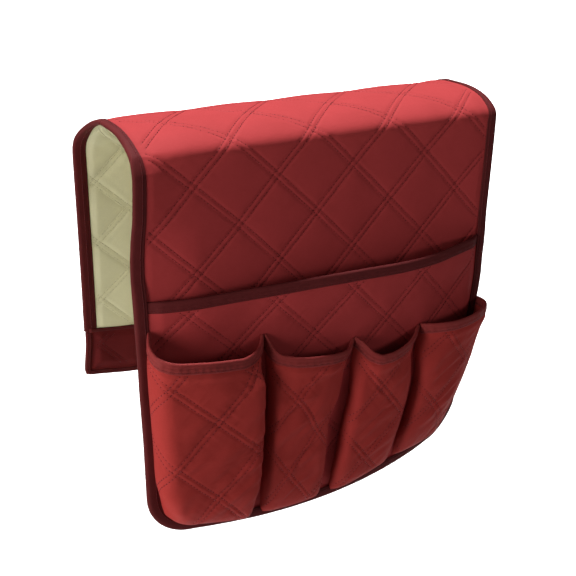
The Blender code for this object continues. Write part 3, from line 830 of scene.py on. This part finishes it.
for name, sx in (("left", -1.0), ("right", 1.0)):
    s = np.arange(0, s_back(BACK_BOTTOM - 0.3), 2.4)
    x = np.full_like(s, sx * HALF)
    p, ds, dx, n = frame_on(x, -s, front=False)
    inward = -sx * dx
    slim = 0.5 + 0.5 * step(1.0, 24.0, prof(-s)[1])
    wide = (TAPE_W - 0.3) * (0.66 + 0.34 * step(1.0, 20.0, prof(-s)[1]))
    secs = [tape_section(b, 10.4 * e, 0.0, EDGE_T)
            for b, e in zip(wide, slim)]
    obj, st = tape("back_edge_tape_" + name, p + inward * 0.5, inward, n,
                   secs, [TAPE], seed=5 + sx, thread=TAPE_SEWN)
    pieces["back_edge_tape_" + name] = obj
    pieces["back_edge_tape_%s_stitches" % name] = st

# ------------------------------------------------------------ magazine pocket
def mouth_drop(xa):
    """The wide mouth isn't quite straight: it sags and rises a little."""
    k = np.clip((np.asarray(xa) + 165) / 330, 0, 1) * 33
    g = np.arange(34)
    d = np.interp(g * 10 - 165.0, [-165, -122, -85, -55, -16, 27, 62, 92,
                                   124, 146, 165],
                  [0.2, 0.0, -1.2, -1.7, -2.4, -2.1, -0.4, -0.4, -3.3, -3.6,
                   -3.2])
    d = np.convolve(np.pad(d, 1, mode="edge"), [0.25, 0.5, 0.25], "valid")
    return MAG_TOP + np.interp(k, g, d)


x = np.linspace(-(HALF - 1.6), HALF - 1.6, 221)
low = bottom_drop(x, 1.8)
top = mouth_drop(x)
t = np.linspace(0, 1, 146)[:, None]
h = (top + 0.6) + t * (low[None, :] - top - 0.6)
xx = np.broadcast_to(x, h.shape)


PRESS = 1.8


def press_part(xa, ha):
    rim_ = np.minimum(HALF - np.abs(xa), bottom_drop(xa, 0.0) - ha)
    return 1 - step(9.0, 22.0, rim_)


def pressed(xa, ha):
    """How far the bound edges press the magazine pocket's face back."""
    return press_part(xa, ha) * (PRESS + 1.1 * np.clip(
        (MAG_TOP + 30 - ha) / 20.0, 0, 1))


def mag_face_y(xa, ha):
    return -FRONT_Y - MAG_FACE + curl(xa, ha) - belly(xa, ha)


base = np.stack([xx, mag_face_y(xx, h), LIFT - h], -1)
n = grid_normals(base)
n = np.where(n[..., 1:2] > 0, -n, n)
mu = (xx + 126.3) / 69.7
mv = (h - 141.0) / 68.8
u, v = mu + mv, mu - mv
side = HALF - 1.6 - np.abs(xx)
rim = np.minimum(side, low[None, :] - h)
free = step(7.5, 15.0, rim) * step(6.5, 14.0, h - top)
relief = quilt(u, v, xx - h, xx + h, height=0.95, soft=7.0, groove=0.55,
               pucker=0.2, seed=31)
swell = 0.8 * noise(xx, h * 0.6, 38.0, 32) + 0.5 * noise(xx + h, h, 21.0, 33)
flat = pressed(xx, h)
outer = base + n * ((relief - 0.45 + swell * 0.8) * free - flat)[..., None]
inner = base - n * (2.4 - 1.4 * press_part(xx, h) + flat
                    + (relief * 0.3 - 0.3) * free)[..., None]
pieces["magazine_pocket"] = sheet_solid(
    "magazine_pocket", outer, inner, np.stack([xx, h], -1),
    [RED, LINING], edge_mat=0)
keep = free > 0.3
lines = []
for f in (u, v):
    lines += lines_on(f, outer, n, keep=keep)
pieces["magazine_pocket_stitches"] = stitch_mesh(
    "magazine_pocket_stitches", lines, SEWN, lift=0.05)
MAG = (outer, n)

# its mouth tape, from side to side
xs = np.linspace(-(HALF - 4.0), HALF - 4.0, 156)
hs = mouth_drop(xs)


def mouth_y(xa, ha):
    return mag_face_y(xa, ha) + pressed(xa, ha)


p = np.stack([xs, mouth_y(xs, hs), LIFT - hs], -1)
p2 = np.stack([xs, mouth_y(xs, hs + 1.5), LIFT - hs - 1.5], -1)
down = unit(p2 - p)
along = unit(np.gradient(p, axis=0))
n = unit(np.cross(along, down))
n = np.where(n[:, 1:2] > 0, -n, n)
ends = step(HALF - 17.0, HALF - 9.0, np.abs(xs))
secs = [tape_section(8.6, 8.0, 0.0, 2.4 - 1.4 * e, puff=0.3 * (1 - e),
                     thick=0.55 - 0.25 * e, crease=0.18 * (1 - e))
        for e in ends]
obj, st = tape("magazine_mouth_tape", p + down * 0.4, down, n, secs, [TAPE],
               seed=9, thread=TAPE_SEWN, pucker=0.16, period=6.5)
pieces["magazine_mouth_tape"], pieces["magazine_mouth_tape_stitches"] = obj, st

# ------------------------------------------------------------ small pockets
# Each mouth runs through stations: x, stand-off from the magazine pocket,
# drop. Below it the cloth takes up its waist, as parts of the width and of
# the depth, between two side walls that wander on their way down, given as
# (drop, x).
ROUND = [(0.03, 0), (0.005, 0.2), (0, 0.5), (0.006, 0.72), (0.028, 0.9),
         (0.085, 0.99), (0.35, 1), (0.68, 0.97), (0.86, 0.92), (0.95, 0.84),
         (0.99, 0.68), (1, 0.42), (0.985, 0)]
POCKETS = {
    "remote_pocket": dict(
        rim=[(-154.2, 0, 151), (-156.2, 3.0, 152.5), (-158.8, 8, 155),
             (-160.0, 15, 158.5), (-158.0, 22.6, 162.7), (-152.4, 26.5, 165.6),
             (-145.5, 27.2, 167.5), (-121.4, 25.5, 170.8), (-94, 20.5, 175),
             (-84.5, 15.5, 174.6), (-76.8, 9.3, 173.3), (-71.6, 4, 170.2),
             (-69.5, 0, 166.9)],
        left=[(151, -161.0), (170, -161.5), (215, -160.8), (250, -160.6),
              (290, -160.2), (325, -159.2)],
        right=[(167, -69.0), (182, -72.0), (198, -75.0), (214, -76.0),
               (250, -76.0), (262, -76.8), (293, -79.0), (309, -82.0),
               (325, -84.0)],
        waist=[(0.05, 0), (0.028, 0.12), (0.01, 0.26), (0, 0.42),
               (0.008, 0.6), (0.03, 0.8), (0.062, 0.93), (0.11, 0.99),
               (0.35, 1.0), (0.6, 0.98), (0.8, 0.95), (0.92, 0.91),
               (0.975, 0.84), (1, 0.7), (1.005, 0.4), (0.99, 0.15),
               (0.985, 0)],
        depth=25.5, foot=(-154.2, -78.0), hold=9.0, anchor=(66.0, 223.8),
        slack=0.9, settle=(0.015, 0.2)),
    "phone_pocket": dict(
        rim=[(-65.4, 0, 166.9), (-64.2, 4, 172), (-62.2, 8, 178),
             (-58.5, 12, 182.4), (-47.2, 15.3, 185.7), (-33.7, 16.2, 187.9),
             (-11.2, 14.5, 190.7), (-3, 12.2, 191.5), (4, 9, 192.3),
             (10.8, 4.2, 190.5), (14.6, 0, 187)],
        left=[(167, -65.4), (205, -64.4), (239, -64.6), (268, -66.2),
              (300, -69.2), (325, -68.6)],
        right=[(187, 14.6), (200, 8.5), (220, 2.6), (236, -2.8), (245, -8.2),
               (254, -11.6), (274, -11.4), (297, -11.6), (318, -11.8)],
        waist=ROUND, depth=16.0, foot=(-67.5, -11.0), hold=6.0,
        anchor=(37.0, 224.2)),
    "pen_pocket": dict(
        rim=[(17.6, 0, 186.3), (20.6, 4.5, 188.5), (23.8, 8.5, 192),
             (28, 12.8, 198), (35, 16, 202), (47.4, 16.2, 202),
             (58.3, 14.3, 200.4), (69, 11, 197.8), (78, 6, 194.4),
             (84.8, 0, 191)],
        left=[(186, 17.6), (205, 15.6), (243, 14.5), (262, 10.5), (276, 8.6),
              (289, 7.2), (300, 5.6), (311, 3.8), (318, 2.4)],
        right=[(191, 84.8), (202, 79.5), (215, 76.2), (229, 75.2),
               (244, 74.2), (259, 73.2), (274, 71.2), (288, 67.8),
               (303, 65.9), (315, 65)],
        waist=ROUND, depth=15.5, foot=(2.8, 66.0), hold=6.0,
        anchor=(36.0, 233.0)),
    "glasses_pocket": dict(
        rim=[(87.8, 0, 191.2), (89.6, 5, 189.8), (94.7, 10, 189.2),
             (104.6, 14.2, 189.3), (117.7, 16.6, 190.4), (132, 17.4, 190.4),
             (143, 17.3, 190.0), (151, 17.0, 189.5), (158, 15.6, 188.8),
             (162.3, 12.2, 188), (164.0, 8.5, 187.4), (164.4, 5, 187.0),
             (164.0, 2, 186.7), (163.0, -0.8, 186.5)],
        left=[(191, 87.8), (213, 84.4), (228, 86), (245, 88), (265, 86.4),
              (284, 83.2), (303, 77)],
        right=[(187, 164.4), (203, 165.8), (218, 165.2), (243, 164.2),
               (269, 160.6), (291, 155.4), (305, 150), (315, 146)],
        waist=[(0.03, 0), (0.005, 0.2), (0, 0.45), (0.012, 0.68),
               (0.05, 0.88), (0.15, 0.98), (0.45, 1), (0.7, 0.94),
               (0.88, 0.8), (0.96, 0.62), (1, 0.45), (1, 0.28),
               (0.985, 0.12), (0.97, -0.03)],
        depth=17.0, foot=(76.0, 150.5), hold=4.5, anchor=(29.0, 200.0),
        taper=0.55),
}


def wall(table, h):
    """x of a pocket's side wall, smoothed between its stations."""
    q = np.array(table, float)
    g = np.arange(q[0, 0] - 30, q[-1, 0] + 30, 1.0)
    ker = np.exp(-0.5 * (np.arange(-15, 16) / 5.0) ** 2)
    xw = np.convolve(np.pad(np.interp(g, q[:, 0], q[:, 1]), 15, mode="edge"),
                     ker / ker.sum(), "valid")
    return np.interp(h, g, xw)


def smooth_line(pts, n, sigma=0.018):
    """Dense rounded curve through control points, by length."""
    p = np.array(pts, float)
    d = np.r_[0, np.cumsum(np.linalg.norm(np.diff(p, axis=0), axis=1))]
    d /= d[-1]
    t = np.linspace(0, 1, 801)
    q = np.stack([np.interp(t, d, p[:, k]) for k in range(3)], 1)
    w = int(sigma * 801 * 3)
    ker = np.exp(-0.5 * (np.arange(-w, w + 1) / (sigma * 801)) ** 2)
    ker /= ker.sum()
    pad = np.pad(q, ((w, w), (0, 0)), mode="reflect", reflect_type="odd")
    q = np.stack([np.convolve(pad[:, k], ker, "valid") for k in range(3)], 1)
    dd = np.r_[0, np.cumsum(np.linalg.norm(np.diff(q, axis=0), axis=1))]
    tt = np.linspace(0, dd[-1], n)
    return np.stack([np.interp(tt, dd, q[:, k]) for k in range(3)], 1), tt


def folds(a, b, strokes):
    """Soft pull folds: (a0, b0, a1, b1, width, height) in mm on the cloth."""
    out = np.zeros_like(a)
    for a0, b0, a1, b1, wid, hgt in strokes:
        la, lb = a1 - a0, b1 - b0
        ln = math.hypot(la, lb)
        ta, tb = la / ln, lb / ln
        t = ((a - a0) * ta + (b - b0) * tb) / ln
        c = -(a - a0) * tb + (b - b0) * ta
        c = c + 3.0 * np.sin(t * 3.1)
        window = step(-0.15, 0.3, t) * (1 - step(0.7, 1.15, t))
        out += hgt * window * (np.exp(-(c / wid) ** 2)
                               - 0.75 * np.exp(-((c - 1.7 * wid)
                                                 / (1.1 * wid)) ** 2))
    return out


def pocket(name, spec, seed, strokes):
    rim, a = smooth_line(spec["rim"], 141)
    nv = 121
    x0, x1 = spec["foot"]
    waist, _ = smooth_line([(80 * p_, spec["depth"] * q_, 0.0)
                            for p_, q_ in spec["waist"]], 141)
    part = waist[None, :, 0] / 80
    v = np.linspace(0, 1, nv)[:, None]
    even = (a / a[-1])[None, :]
    foot_x = x0 + (x1 - x0) * (0.55 * np.clip(part, 0, 1) + 0.45 * even)
    # the filled cloth sags over the bottom tape, less at the left
    inset = np.interp(foot_x, [-154, -120, -85, -40, 0, 20, 45, 70, 90,
                               110, 130, 147],
                      [9.4, 8.0, 5.0, 4.8, 5.0, 6.4, 9.2, 11.6, 11.2,
                       9.0, 7.0, 6.6])
    low = bottom_drop(foot_x, inset)[0]
    h = rim[None, :, 2] + (low[None, :] - rim[None, :, 2]) * v
    xl, xr = wall(spec["left"], rim[:, 2]), wall(spec["right"], rim[:, 2])
    at_rim = ((rim[:, 0] - xl) / (xr - xl))[None, :]
    sunk = step(*spec.get("settle", (0.05, 0.36)), v)
    xl, xr = wall(spec["left"], h), wall(spec["right"], h)
    x = xl + (xr - xl) * (at_rim + (part - at_rim) * sunk)
    x = x + (foot_x - x) * step(0.74, 1.0, v)
    deep = np.maximum(1 - v ** spec["hold"], 0) ** (1 / 1.6)
    slim = 1 - spec.get("taper", 0.0) * step(0.5, 1.0, even) \
        * step(0.05, 0.85, v)
    d = (rim[None, :, 1] + (waist[None, :, 1] - rim[None, :, 1]) * sunk) \
        * deep * slim
    y = mag_face_y(x, h) - 0.25 - d + pressed(x, h) * (1 - step(0.0, 5.0, d))
    base = np.stack([x, y, LIFT - h], -1)
    n = grid_normals(base)
    if n[nv // 2, 60, 1] > 0:
        n = -n
    aa = np.broadcast_to(a, x.shape)
    a0, b0 = spec["anchor"]
    mu = (aa - a0) / 69.7
    mv = (h - b0) / 68.8
    u, w = mu + mv, mu - mv
    seam = np.minimum(aa, a[-1] - aa)
    rimd = np.minimum(seam * 0.8, (1 - v) * (low[None, :] - rim[None, :, 2]))
    free = step(0.5, 15.0, rimd) * step(6.5, 14.0, h - rim[None, :, 2])
    tight = 0.3 + 0.7 * step(0.4 * spec["depth"], spec["depth"] + 9.0, seam)
    relief = quilt(u, w, aa - h, aa + h, height=0.75, soft=6.5, groove=0.42,
                   pucker=0.25, seed=seed) * tight
    loose = (0.9 * noise(aa * 0.55 - h * 0.35, h + aa * 0.5, 17.0, seed + 1)
             + 0.45 * noise(aa * 0.6 - h * 0.3, h * 1.2 + aa * 0.6, 8.0,
                            seed + 2))
    pull = folds(aa, h, strokes)
    # the side walls are drawn tight by what the pocket holds
    calm = step(0.5 * spec["depth"], 0.5 * spec["depth"] + 20.0, seam)
    slack = spec.get("slack", 1.3)
    disp = (relief - 0.4 + (loose * 0.7 + pull * 0.9) * slack * calm) * free
    # the cloth puffs out below the tape and thins at its foot
    under = (h - rim[None, :, 2])
    disp = disp + 1.0 * np.exp(-((under - 12.5) / 3.6) ** 2) * step(
        4.0, 12.0, seam)
    thin = 0.55 + 0.95 * step(0.0, 8.0, low[None, :] - h)
    outer = base + n * (thin + disp)[..., None]
    inner = base + n * (0.1 + disp * 0.8)[..., None]
    # both sides and the foot are sewn flat
    pieces[name + "_cloth"] = sheet_solid(
        name + "_cloth", outer, inner, np.stack([aa, h], -1),
        [POCKET_RED, POCKET_RED], edge_mat=0)
    keep = free > 0.3
    lines = []
    for f in (u, w):
        lines += lines_on(f, outer, n, keep=keep)
    pieces[name + "_stitches"] = stitch_mesh(
        name + "_stitches", lines, SEWN, lift=0.04)
    # mouth tape
    edge = outer[0] * 0.5 + inner[0] * 0.5
    edge, _ = resample(np.concatenate([edge, outer[0], outer[6], n[0]], 1),
                       1.6)
    mid, top, deepr, nn = (edge[:, 0:3], edge[:, 3:6], edge[:, 6:9],
                           edge[:, 9:12])
    down = unit(deepr - top)
    along = unit(np.gradient(top, axis=0))
    nn = unit(nn)
    down = unit(down - along * np.sum(down * along, 1)[:, None])
    nn = unit(np.cross(along, down))
    nn = np.where(np.sum(nn * edge[:, 9:12], 1)[:, None] < 0, -nn, nn)
    obj, st = tape(name + "_mouth_tape", top + down * 0.2, down, nn,
                   [tape_section(8.4, 7.8, 0.0, 1.45, puff=0.35, crease=0.3)],
                   [MOUTH_TAPE], seed=seed, thread=TAPE_SEWN, pucker=0.16,
                   period=6.0)
    pieces[name + "_mouth_tape"] = obj
    pieces[name + "_mouth_tape_stitches"] = st
    return a[-1]


STROKES = {
    "remote_pocket": [
        (62, 262, 118, 238, 5.0, 1.3), (78, 285, 120, 262, 4.0, 1.0),
        (40, 232, 75, 214, 5.0, 0.7), (84, 232, 122, 214, 4.5, 0.9),
        (50, 316, 96, 292, 5.0, 0.9), (96, 196, 122, 182, 4.0, 0.8),
        (30, 292, 60, 276, 5.0, 0.7), (88, 310, 116, 296, 4.0, 0.8),
        (60, 271, 122, 252, 2.7, 0.8), (66, 284, 124, 264, 2.7, 0.8),
        (74, 299, 122, 278, 2.7, 0.7), (90, 254, 124, 240, 2.5, 0.7),
        (96, 228, 124, 216, 2.5, 0.6), (36, 264, 62, 254, 2.7, 0.5)],
    "phone_pocket": [
        (10, 236, 62, 222, 5.0, 0.9), (14, 262, 66, 240, 5.0, 1.0),
        (30, 300, 74, 276, 4.5, 0.9), (50, 212, 84, 204, 4.0, 0.8),
        (44, 262, 84, 246, 4.5, 0.9), (10, 290, 40, 278, 4.5, 0.7),
        (22, 222, 58, 208, 2.7, 0.7), (20, 238, 56, 222, 2.7, 0.7),
        (40, 284, 78, 264, 2.6, 0.7), (28, 320, 66, 300, 2.6, 0.7)],
    "pen_pocket": [
        (20, 282, 60, 262, 5.0, 0.9), (34, 306, 72, 288, 4.5, 0.9),
        (44, 240, 76, 226, 4.5, 0.8), (12, 250, 36, 238, 4.0, 0.7),
        (24, 268, 62, 250, 2.6, 0.7), (20, 300, 58, 280, 2.6, 0.7)],
    "glasses_pocket": [
        (20, 226, 60, 212, 5.0, 0.8), (30, 258, 72, 236, 5.0, 0.9),
        (24, 292, 60, 270, 4.5, 0.8), (56, 214, 90, 206, 4.0, 0.7),
        (22, 244, 58, 228, 2.6, 0.6), (28, 276, 64, 256, 2.6, 0.6)],
}
for k, (name, spec) in enumerate(POCKETS.items()):
    spec["width"] = pocket(name, spec, 41 + 10 * k, STROKES[name])

# ------------------------------------------------------------ tuck band
edge = BAND_HALF - 1.4
x = np.linspace(-edge, edge, 201)
hh = np.linspace(BACK_BOTTOM + 0.2, BAND_BOTTOM - 1.4, 34)
xx, h = np.meshgrid(x, hh)
wave = 0.6 * noise(xx, h, 60.0, 81)
rim = np.minimum(edge - np.abs(xx), BAND_BOTTOM - 1.4 - h)
free = step(5.0, 12.0, rim) * step(0.5, 7.0, h - BACK_BOTTOM)
mu = (xx + 152.4) / 60.0
mv = (h - 212.0) / 50.0
u, v = mu + mv, mu - mv
relief = quilt(u, v, xx - h, xx + h, height=1.2, seed=83)
yo = BACK_Y + (relief - 0.3 + wave) * free - 0.1
yi = BACK_Y - 3.0 - (relief * 0.8 - 0.3 + 1.5 - wave) * free
outer = np.stack([xx, yo, LIFT - h], -1)
inner = np.stack([xx, yi, LIFT - h], -1)
# both sides of the band take the darker red, which is painted shade
pieces["tuck_band_quilt"] = sheet_solid(
    "tuck_band_quilt", outer, inner, np.stack([xx, h], -1),
    [PAINTED_SHADE_BAND, PAINTED_SHADE_BAND], edge_mat=0)
n = np.zeros_like(outer)
n[..., 1] = 1.0
lines = []
for f in (u, v):
    lines += lines_on(f, outer, n, keep=free > 0.3)
    lines += lines_on(f, inner, -n, keep=free > 0.3)
pieces["tuck_band_stitches"] = stitch_mesh("tuck_band_stitches", lines,
                                           TAPE_SEWN, lift=0.05)
# its tape: down one side, along the bottom, up the other
r = 6.0
down_h = np.arange(BACK_BOTTOM + 0.3, BAND_BOTTOM - r, 2.2)
a = np.linspace(0, math.pi / 2, 8)
pts, inn = [], []
for q in down_h:
    pts.append((-BAND_HALF, q)), inn.append((1, 0))
for q in a:
    pts.append((-BAND_HALF + r - r * math.cos(q),
                BAND_BOTTOM - r + r * math.sin(q)))
    inn.append((math.cos(q), -math.sin(q)))
for q in np.arange(-BAND_HALF + r + 2.2, BAND_HALF - r - 1, 2.4):
    pts.append((q, BAND_BOTTOM)), inn.append((0, -1))
for q in a[::-1]:
    pts.append((BAND_HALF - r + r * math.cos(q),
                BAND_BOTTOM - r + r * math.sin(q)))
    inn.append((-math.cos(q), -math.sin(q)))
for q in down_h[::-1]:
    pts.append((BAND_HALF, q)), inn.append((-1, 0))
pts, inn = np.array(pts, float), np.array(inn, float)
p = np.stack([pts[:, 0], np.full(len(pts), BACK_Y), LIFT - pts[:, 1]], 1)
inward = unit(np.stack([inn[:, 0], np.zeros(len(pts)), -inn[:, 1]], 1))
out = np.zeros_like(p)
out[:, 1] = 1.0
obj, st = tape("tuck_band_tape", p + inward * 0.5, inward, out,
               [tape_section(4.2, 4.0, 0.0, 3.0, puff=0.1)], [TAPE],
               seed=13, thread=TAPE_SEWN)
pieces["tuck_band_tape"], pieces["tuck_band_tape_stitches"] = obj, st

# seam cover between the flap's lining and the band, on the arm's side
xs = np.linspace(-(HALF - 4.0), HALF - 4.0, 140)
sec = np.array([(0, -0.9), (0.1, 0.35), (0.6, 0.6), (1.7, 0.65), (2.8, 0.6),
                (3.3, 0.35), (3.4, -0.9), (1.7, -1.0)])
rings = []
for i, xa in enumerate(xs):
    rip = 0.12 * math.sin(xa / 3.1) + 0.1 * math.sin(xa / 1.7)
    rings.append([(xa, BACK_Y - PANEL_T + 0.1 - b * (1 + 0.15 * rip),
                   LIFT - (BACK_BOTTOM - 3.0) - w_) for w_, b in sec])
pieces["flap_seam_tape"] = sweep("flap_seam_tape", rings,
                                 np.arange(len(xs)) * 2.3, [TAPE])

# ------------------------------------------------------------ riding
for name in ("front_quilt", "front_quilt_stitches",
             "front_quilt_lining_stitches", "front_edge_tape",
             "front_edge_tape_stitches"):
    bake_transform(pieces[name], "saddle", "front_panel", **FRONT_BLEND)
for name in ("back_quilt", "back_quilt_stitches",
             "back_quilt_lining_stitches", "back_edge_tape_left",
             "back_edge_tape_left_stitches", "back_edge_tape_right",
             "back_edge_tape_right_stitches"):
    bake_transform(pieces[name], "saddle", "back_flap", **BACK_BLEND)
for name in ("tuck_band_quilt", "tuck_band_stitches", "tuck_band_tape",
             "tuck_band_tape_stitches"):
    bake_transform(pieces[name], "back_flap", "tuck_band",
             start=(0, 0.06175, -0.1942), end=(0, 0.06175, -0.2062))
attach(pieces["flap_seam_tape"], "back_flap")
for name, obj in pieces.items():
    if obj is not None and "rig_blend" not in obj and "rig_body" not in obj:
        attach(obj, "front_panel")

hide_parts("front_face", "front_batting",
            "front_lining", "saddle_face", "saddle_batting", "saddle_lining")
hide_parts("back_face", "back_batting", "back_lining",
            "saddle_face", "saddle_batting", "saddle_lining")
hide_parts("front_edge_binding",
            "saddle_binding_left", "saddle_binding_right")
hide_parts("back_binding_left",
            "saddle_binding_left")
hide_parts("back_binding_right",
            "saddle_binding_right")
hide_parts("magazine_pocket_face",
            "magazine_pocket_lining")
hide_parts("magazine_pocket_binding")
for name in POCKETS:
    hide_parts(name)
    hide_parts(name + "_binding")
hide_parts("tuck_band_face", "tuck_band_batting",
            "tuck_band_lining")
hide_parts("tuck_band_binding")

for name, obj in pieces.items():
    if obj is None:
        continue
    if "tape" in name:
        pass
    elif name.split("_")[0] in ("remote", "phone", "pen", "glasses"):
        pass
    elif "lining" in name:
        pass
    else:
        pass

# ------------------------------------------------------------ camera
cam_data = bpy.data.cameras.new("camera")
cam_data.lens = 71.615
cam_data.sensor_width = 36.0
cam_data.clip_start, cam_data.clip_end = 0.05, 200.0
cam = bpy.data.objects.new("camera", cam_data)
cam.location = (-0.46717, -0.80827, 0.18927)
cam.rotation_euler = (math.radians(69.389), math.radians(0.11),
                      math.radians(-30.057))
bpy.context.scene.collection.objects.link(cam)
bpy.context.scene.camera = cam

# ------------------------------------------------------------ floor, light
FLOOR_Z = -1.6
n = 24
g = np.linspace(-60, 60, n)
gx, gy = np.meshgrid(g, g)
verts = np.stack([gx, gy, np.full_like(gx, FLOOR_Z)], -1).reshape(-1, 3)
idx = np.arange(n * n).reshape(n, n)
faces = np.stack([idx[:-1, :-1], idx[:-1, 1:], idx[1:, 1:], idx[1:, :-1]],
                 -1).reshape(-1, 4)
floor = mesh_object("floor", verts / MM, faces, verts[:, :2] / MM,
                    np.zeros(len(faces)), [])
fm = bpy.data.materials.new("pale_floor")
fm.use_nodes = True
fb = fm.node_tree.nodes["Principled BSDF"]
fb.inputs["Base Color"].default_value = (0.60, 0.60, 0.60, 1.0)
fb.inputs["Roughness"].default_value = 0.9
fb.inputs["Specular IOR Level"].default_value = 0.0
floor.data.materials.append(fm)

world = bpy.data.worlds.new("studio")
bpy.context.scene.world = world
world.use_nodes = True
bg = world.node_tree.nodes["Background"]
bg.inputs["Color"].default_value = (1.0, 1.0, 1.0, 1.0)
bg.inputs["Strength"].default_value = 0.12


def aim(obj, direction):
    """Point a light's -Z along a direction."""
    from mathutils import Vector
    obj.rotation_mode = "QUATERNION"
    obj.rotation_quaternion = Vector(direction).to_track_quat("-Z", "Y")


def lamp(name, kind, watts, place, direction, size, cone=0.0,
         tint=(1.0, 1.0, 1.0)):
    light = bpy.data.objects.new(name, bpy.data.lights.new(name, kind))
    light.data.energy = watts
    light.data.color = tint
    light.location = place
    aim(light, direction)
    if kind == "AREA":
        light.data.shape = "DISK"
        light.data.size = size
    else:
        light.data.shadow_soft_size = size / 2
        light.data.spot_size = math.radians(cone)
        light.data.spot_blend = 0.5
    bpy.context.scene.collection.objects.link(light)


# a softbox nearly overhead, a soft side light, and the white sweep behind
lamp("key", "SPOT", 2800.0, (-0.10, 0.78, 4.94), (0.02, -0.156, -0.988),
     0.3, 16, (0.86, 0.955, 1.0))
lamp("front", "AREA", 9.4, (1.42, -1.78, 0.1), (-1.42, 1.76, -0.25), 0.7)
lamp("side", "AREA", 63.0, (-2.13, -0.40, -0.1), (1.97, 0.32, -0.06), 1.5)
lamp("sweep_a", "SPOT", 520.0, (1.2, 2.1, 0.9), (0, 0, -1), 0.5, 112)
lamp("sweep_b", "SPOT", 1350.0, (2.6, 4.5, 1.8), (0, 0, -1), 0.8, 122)
lamp("sweep_c", "SPOT", 3900.0, (5.0, 8.7, 3.4), (0, 0, -1), 1.2, 124)
lamp("sweep_d", "SPOT", 11500.0, (9.5, 16.5, 6.5), (0, 0, -1), 2.0, 126)

scene = bpy.context.scene
scene.view_settings.view_transform = "Standard"
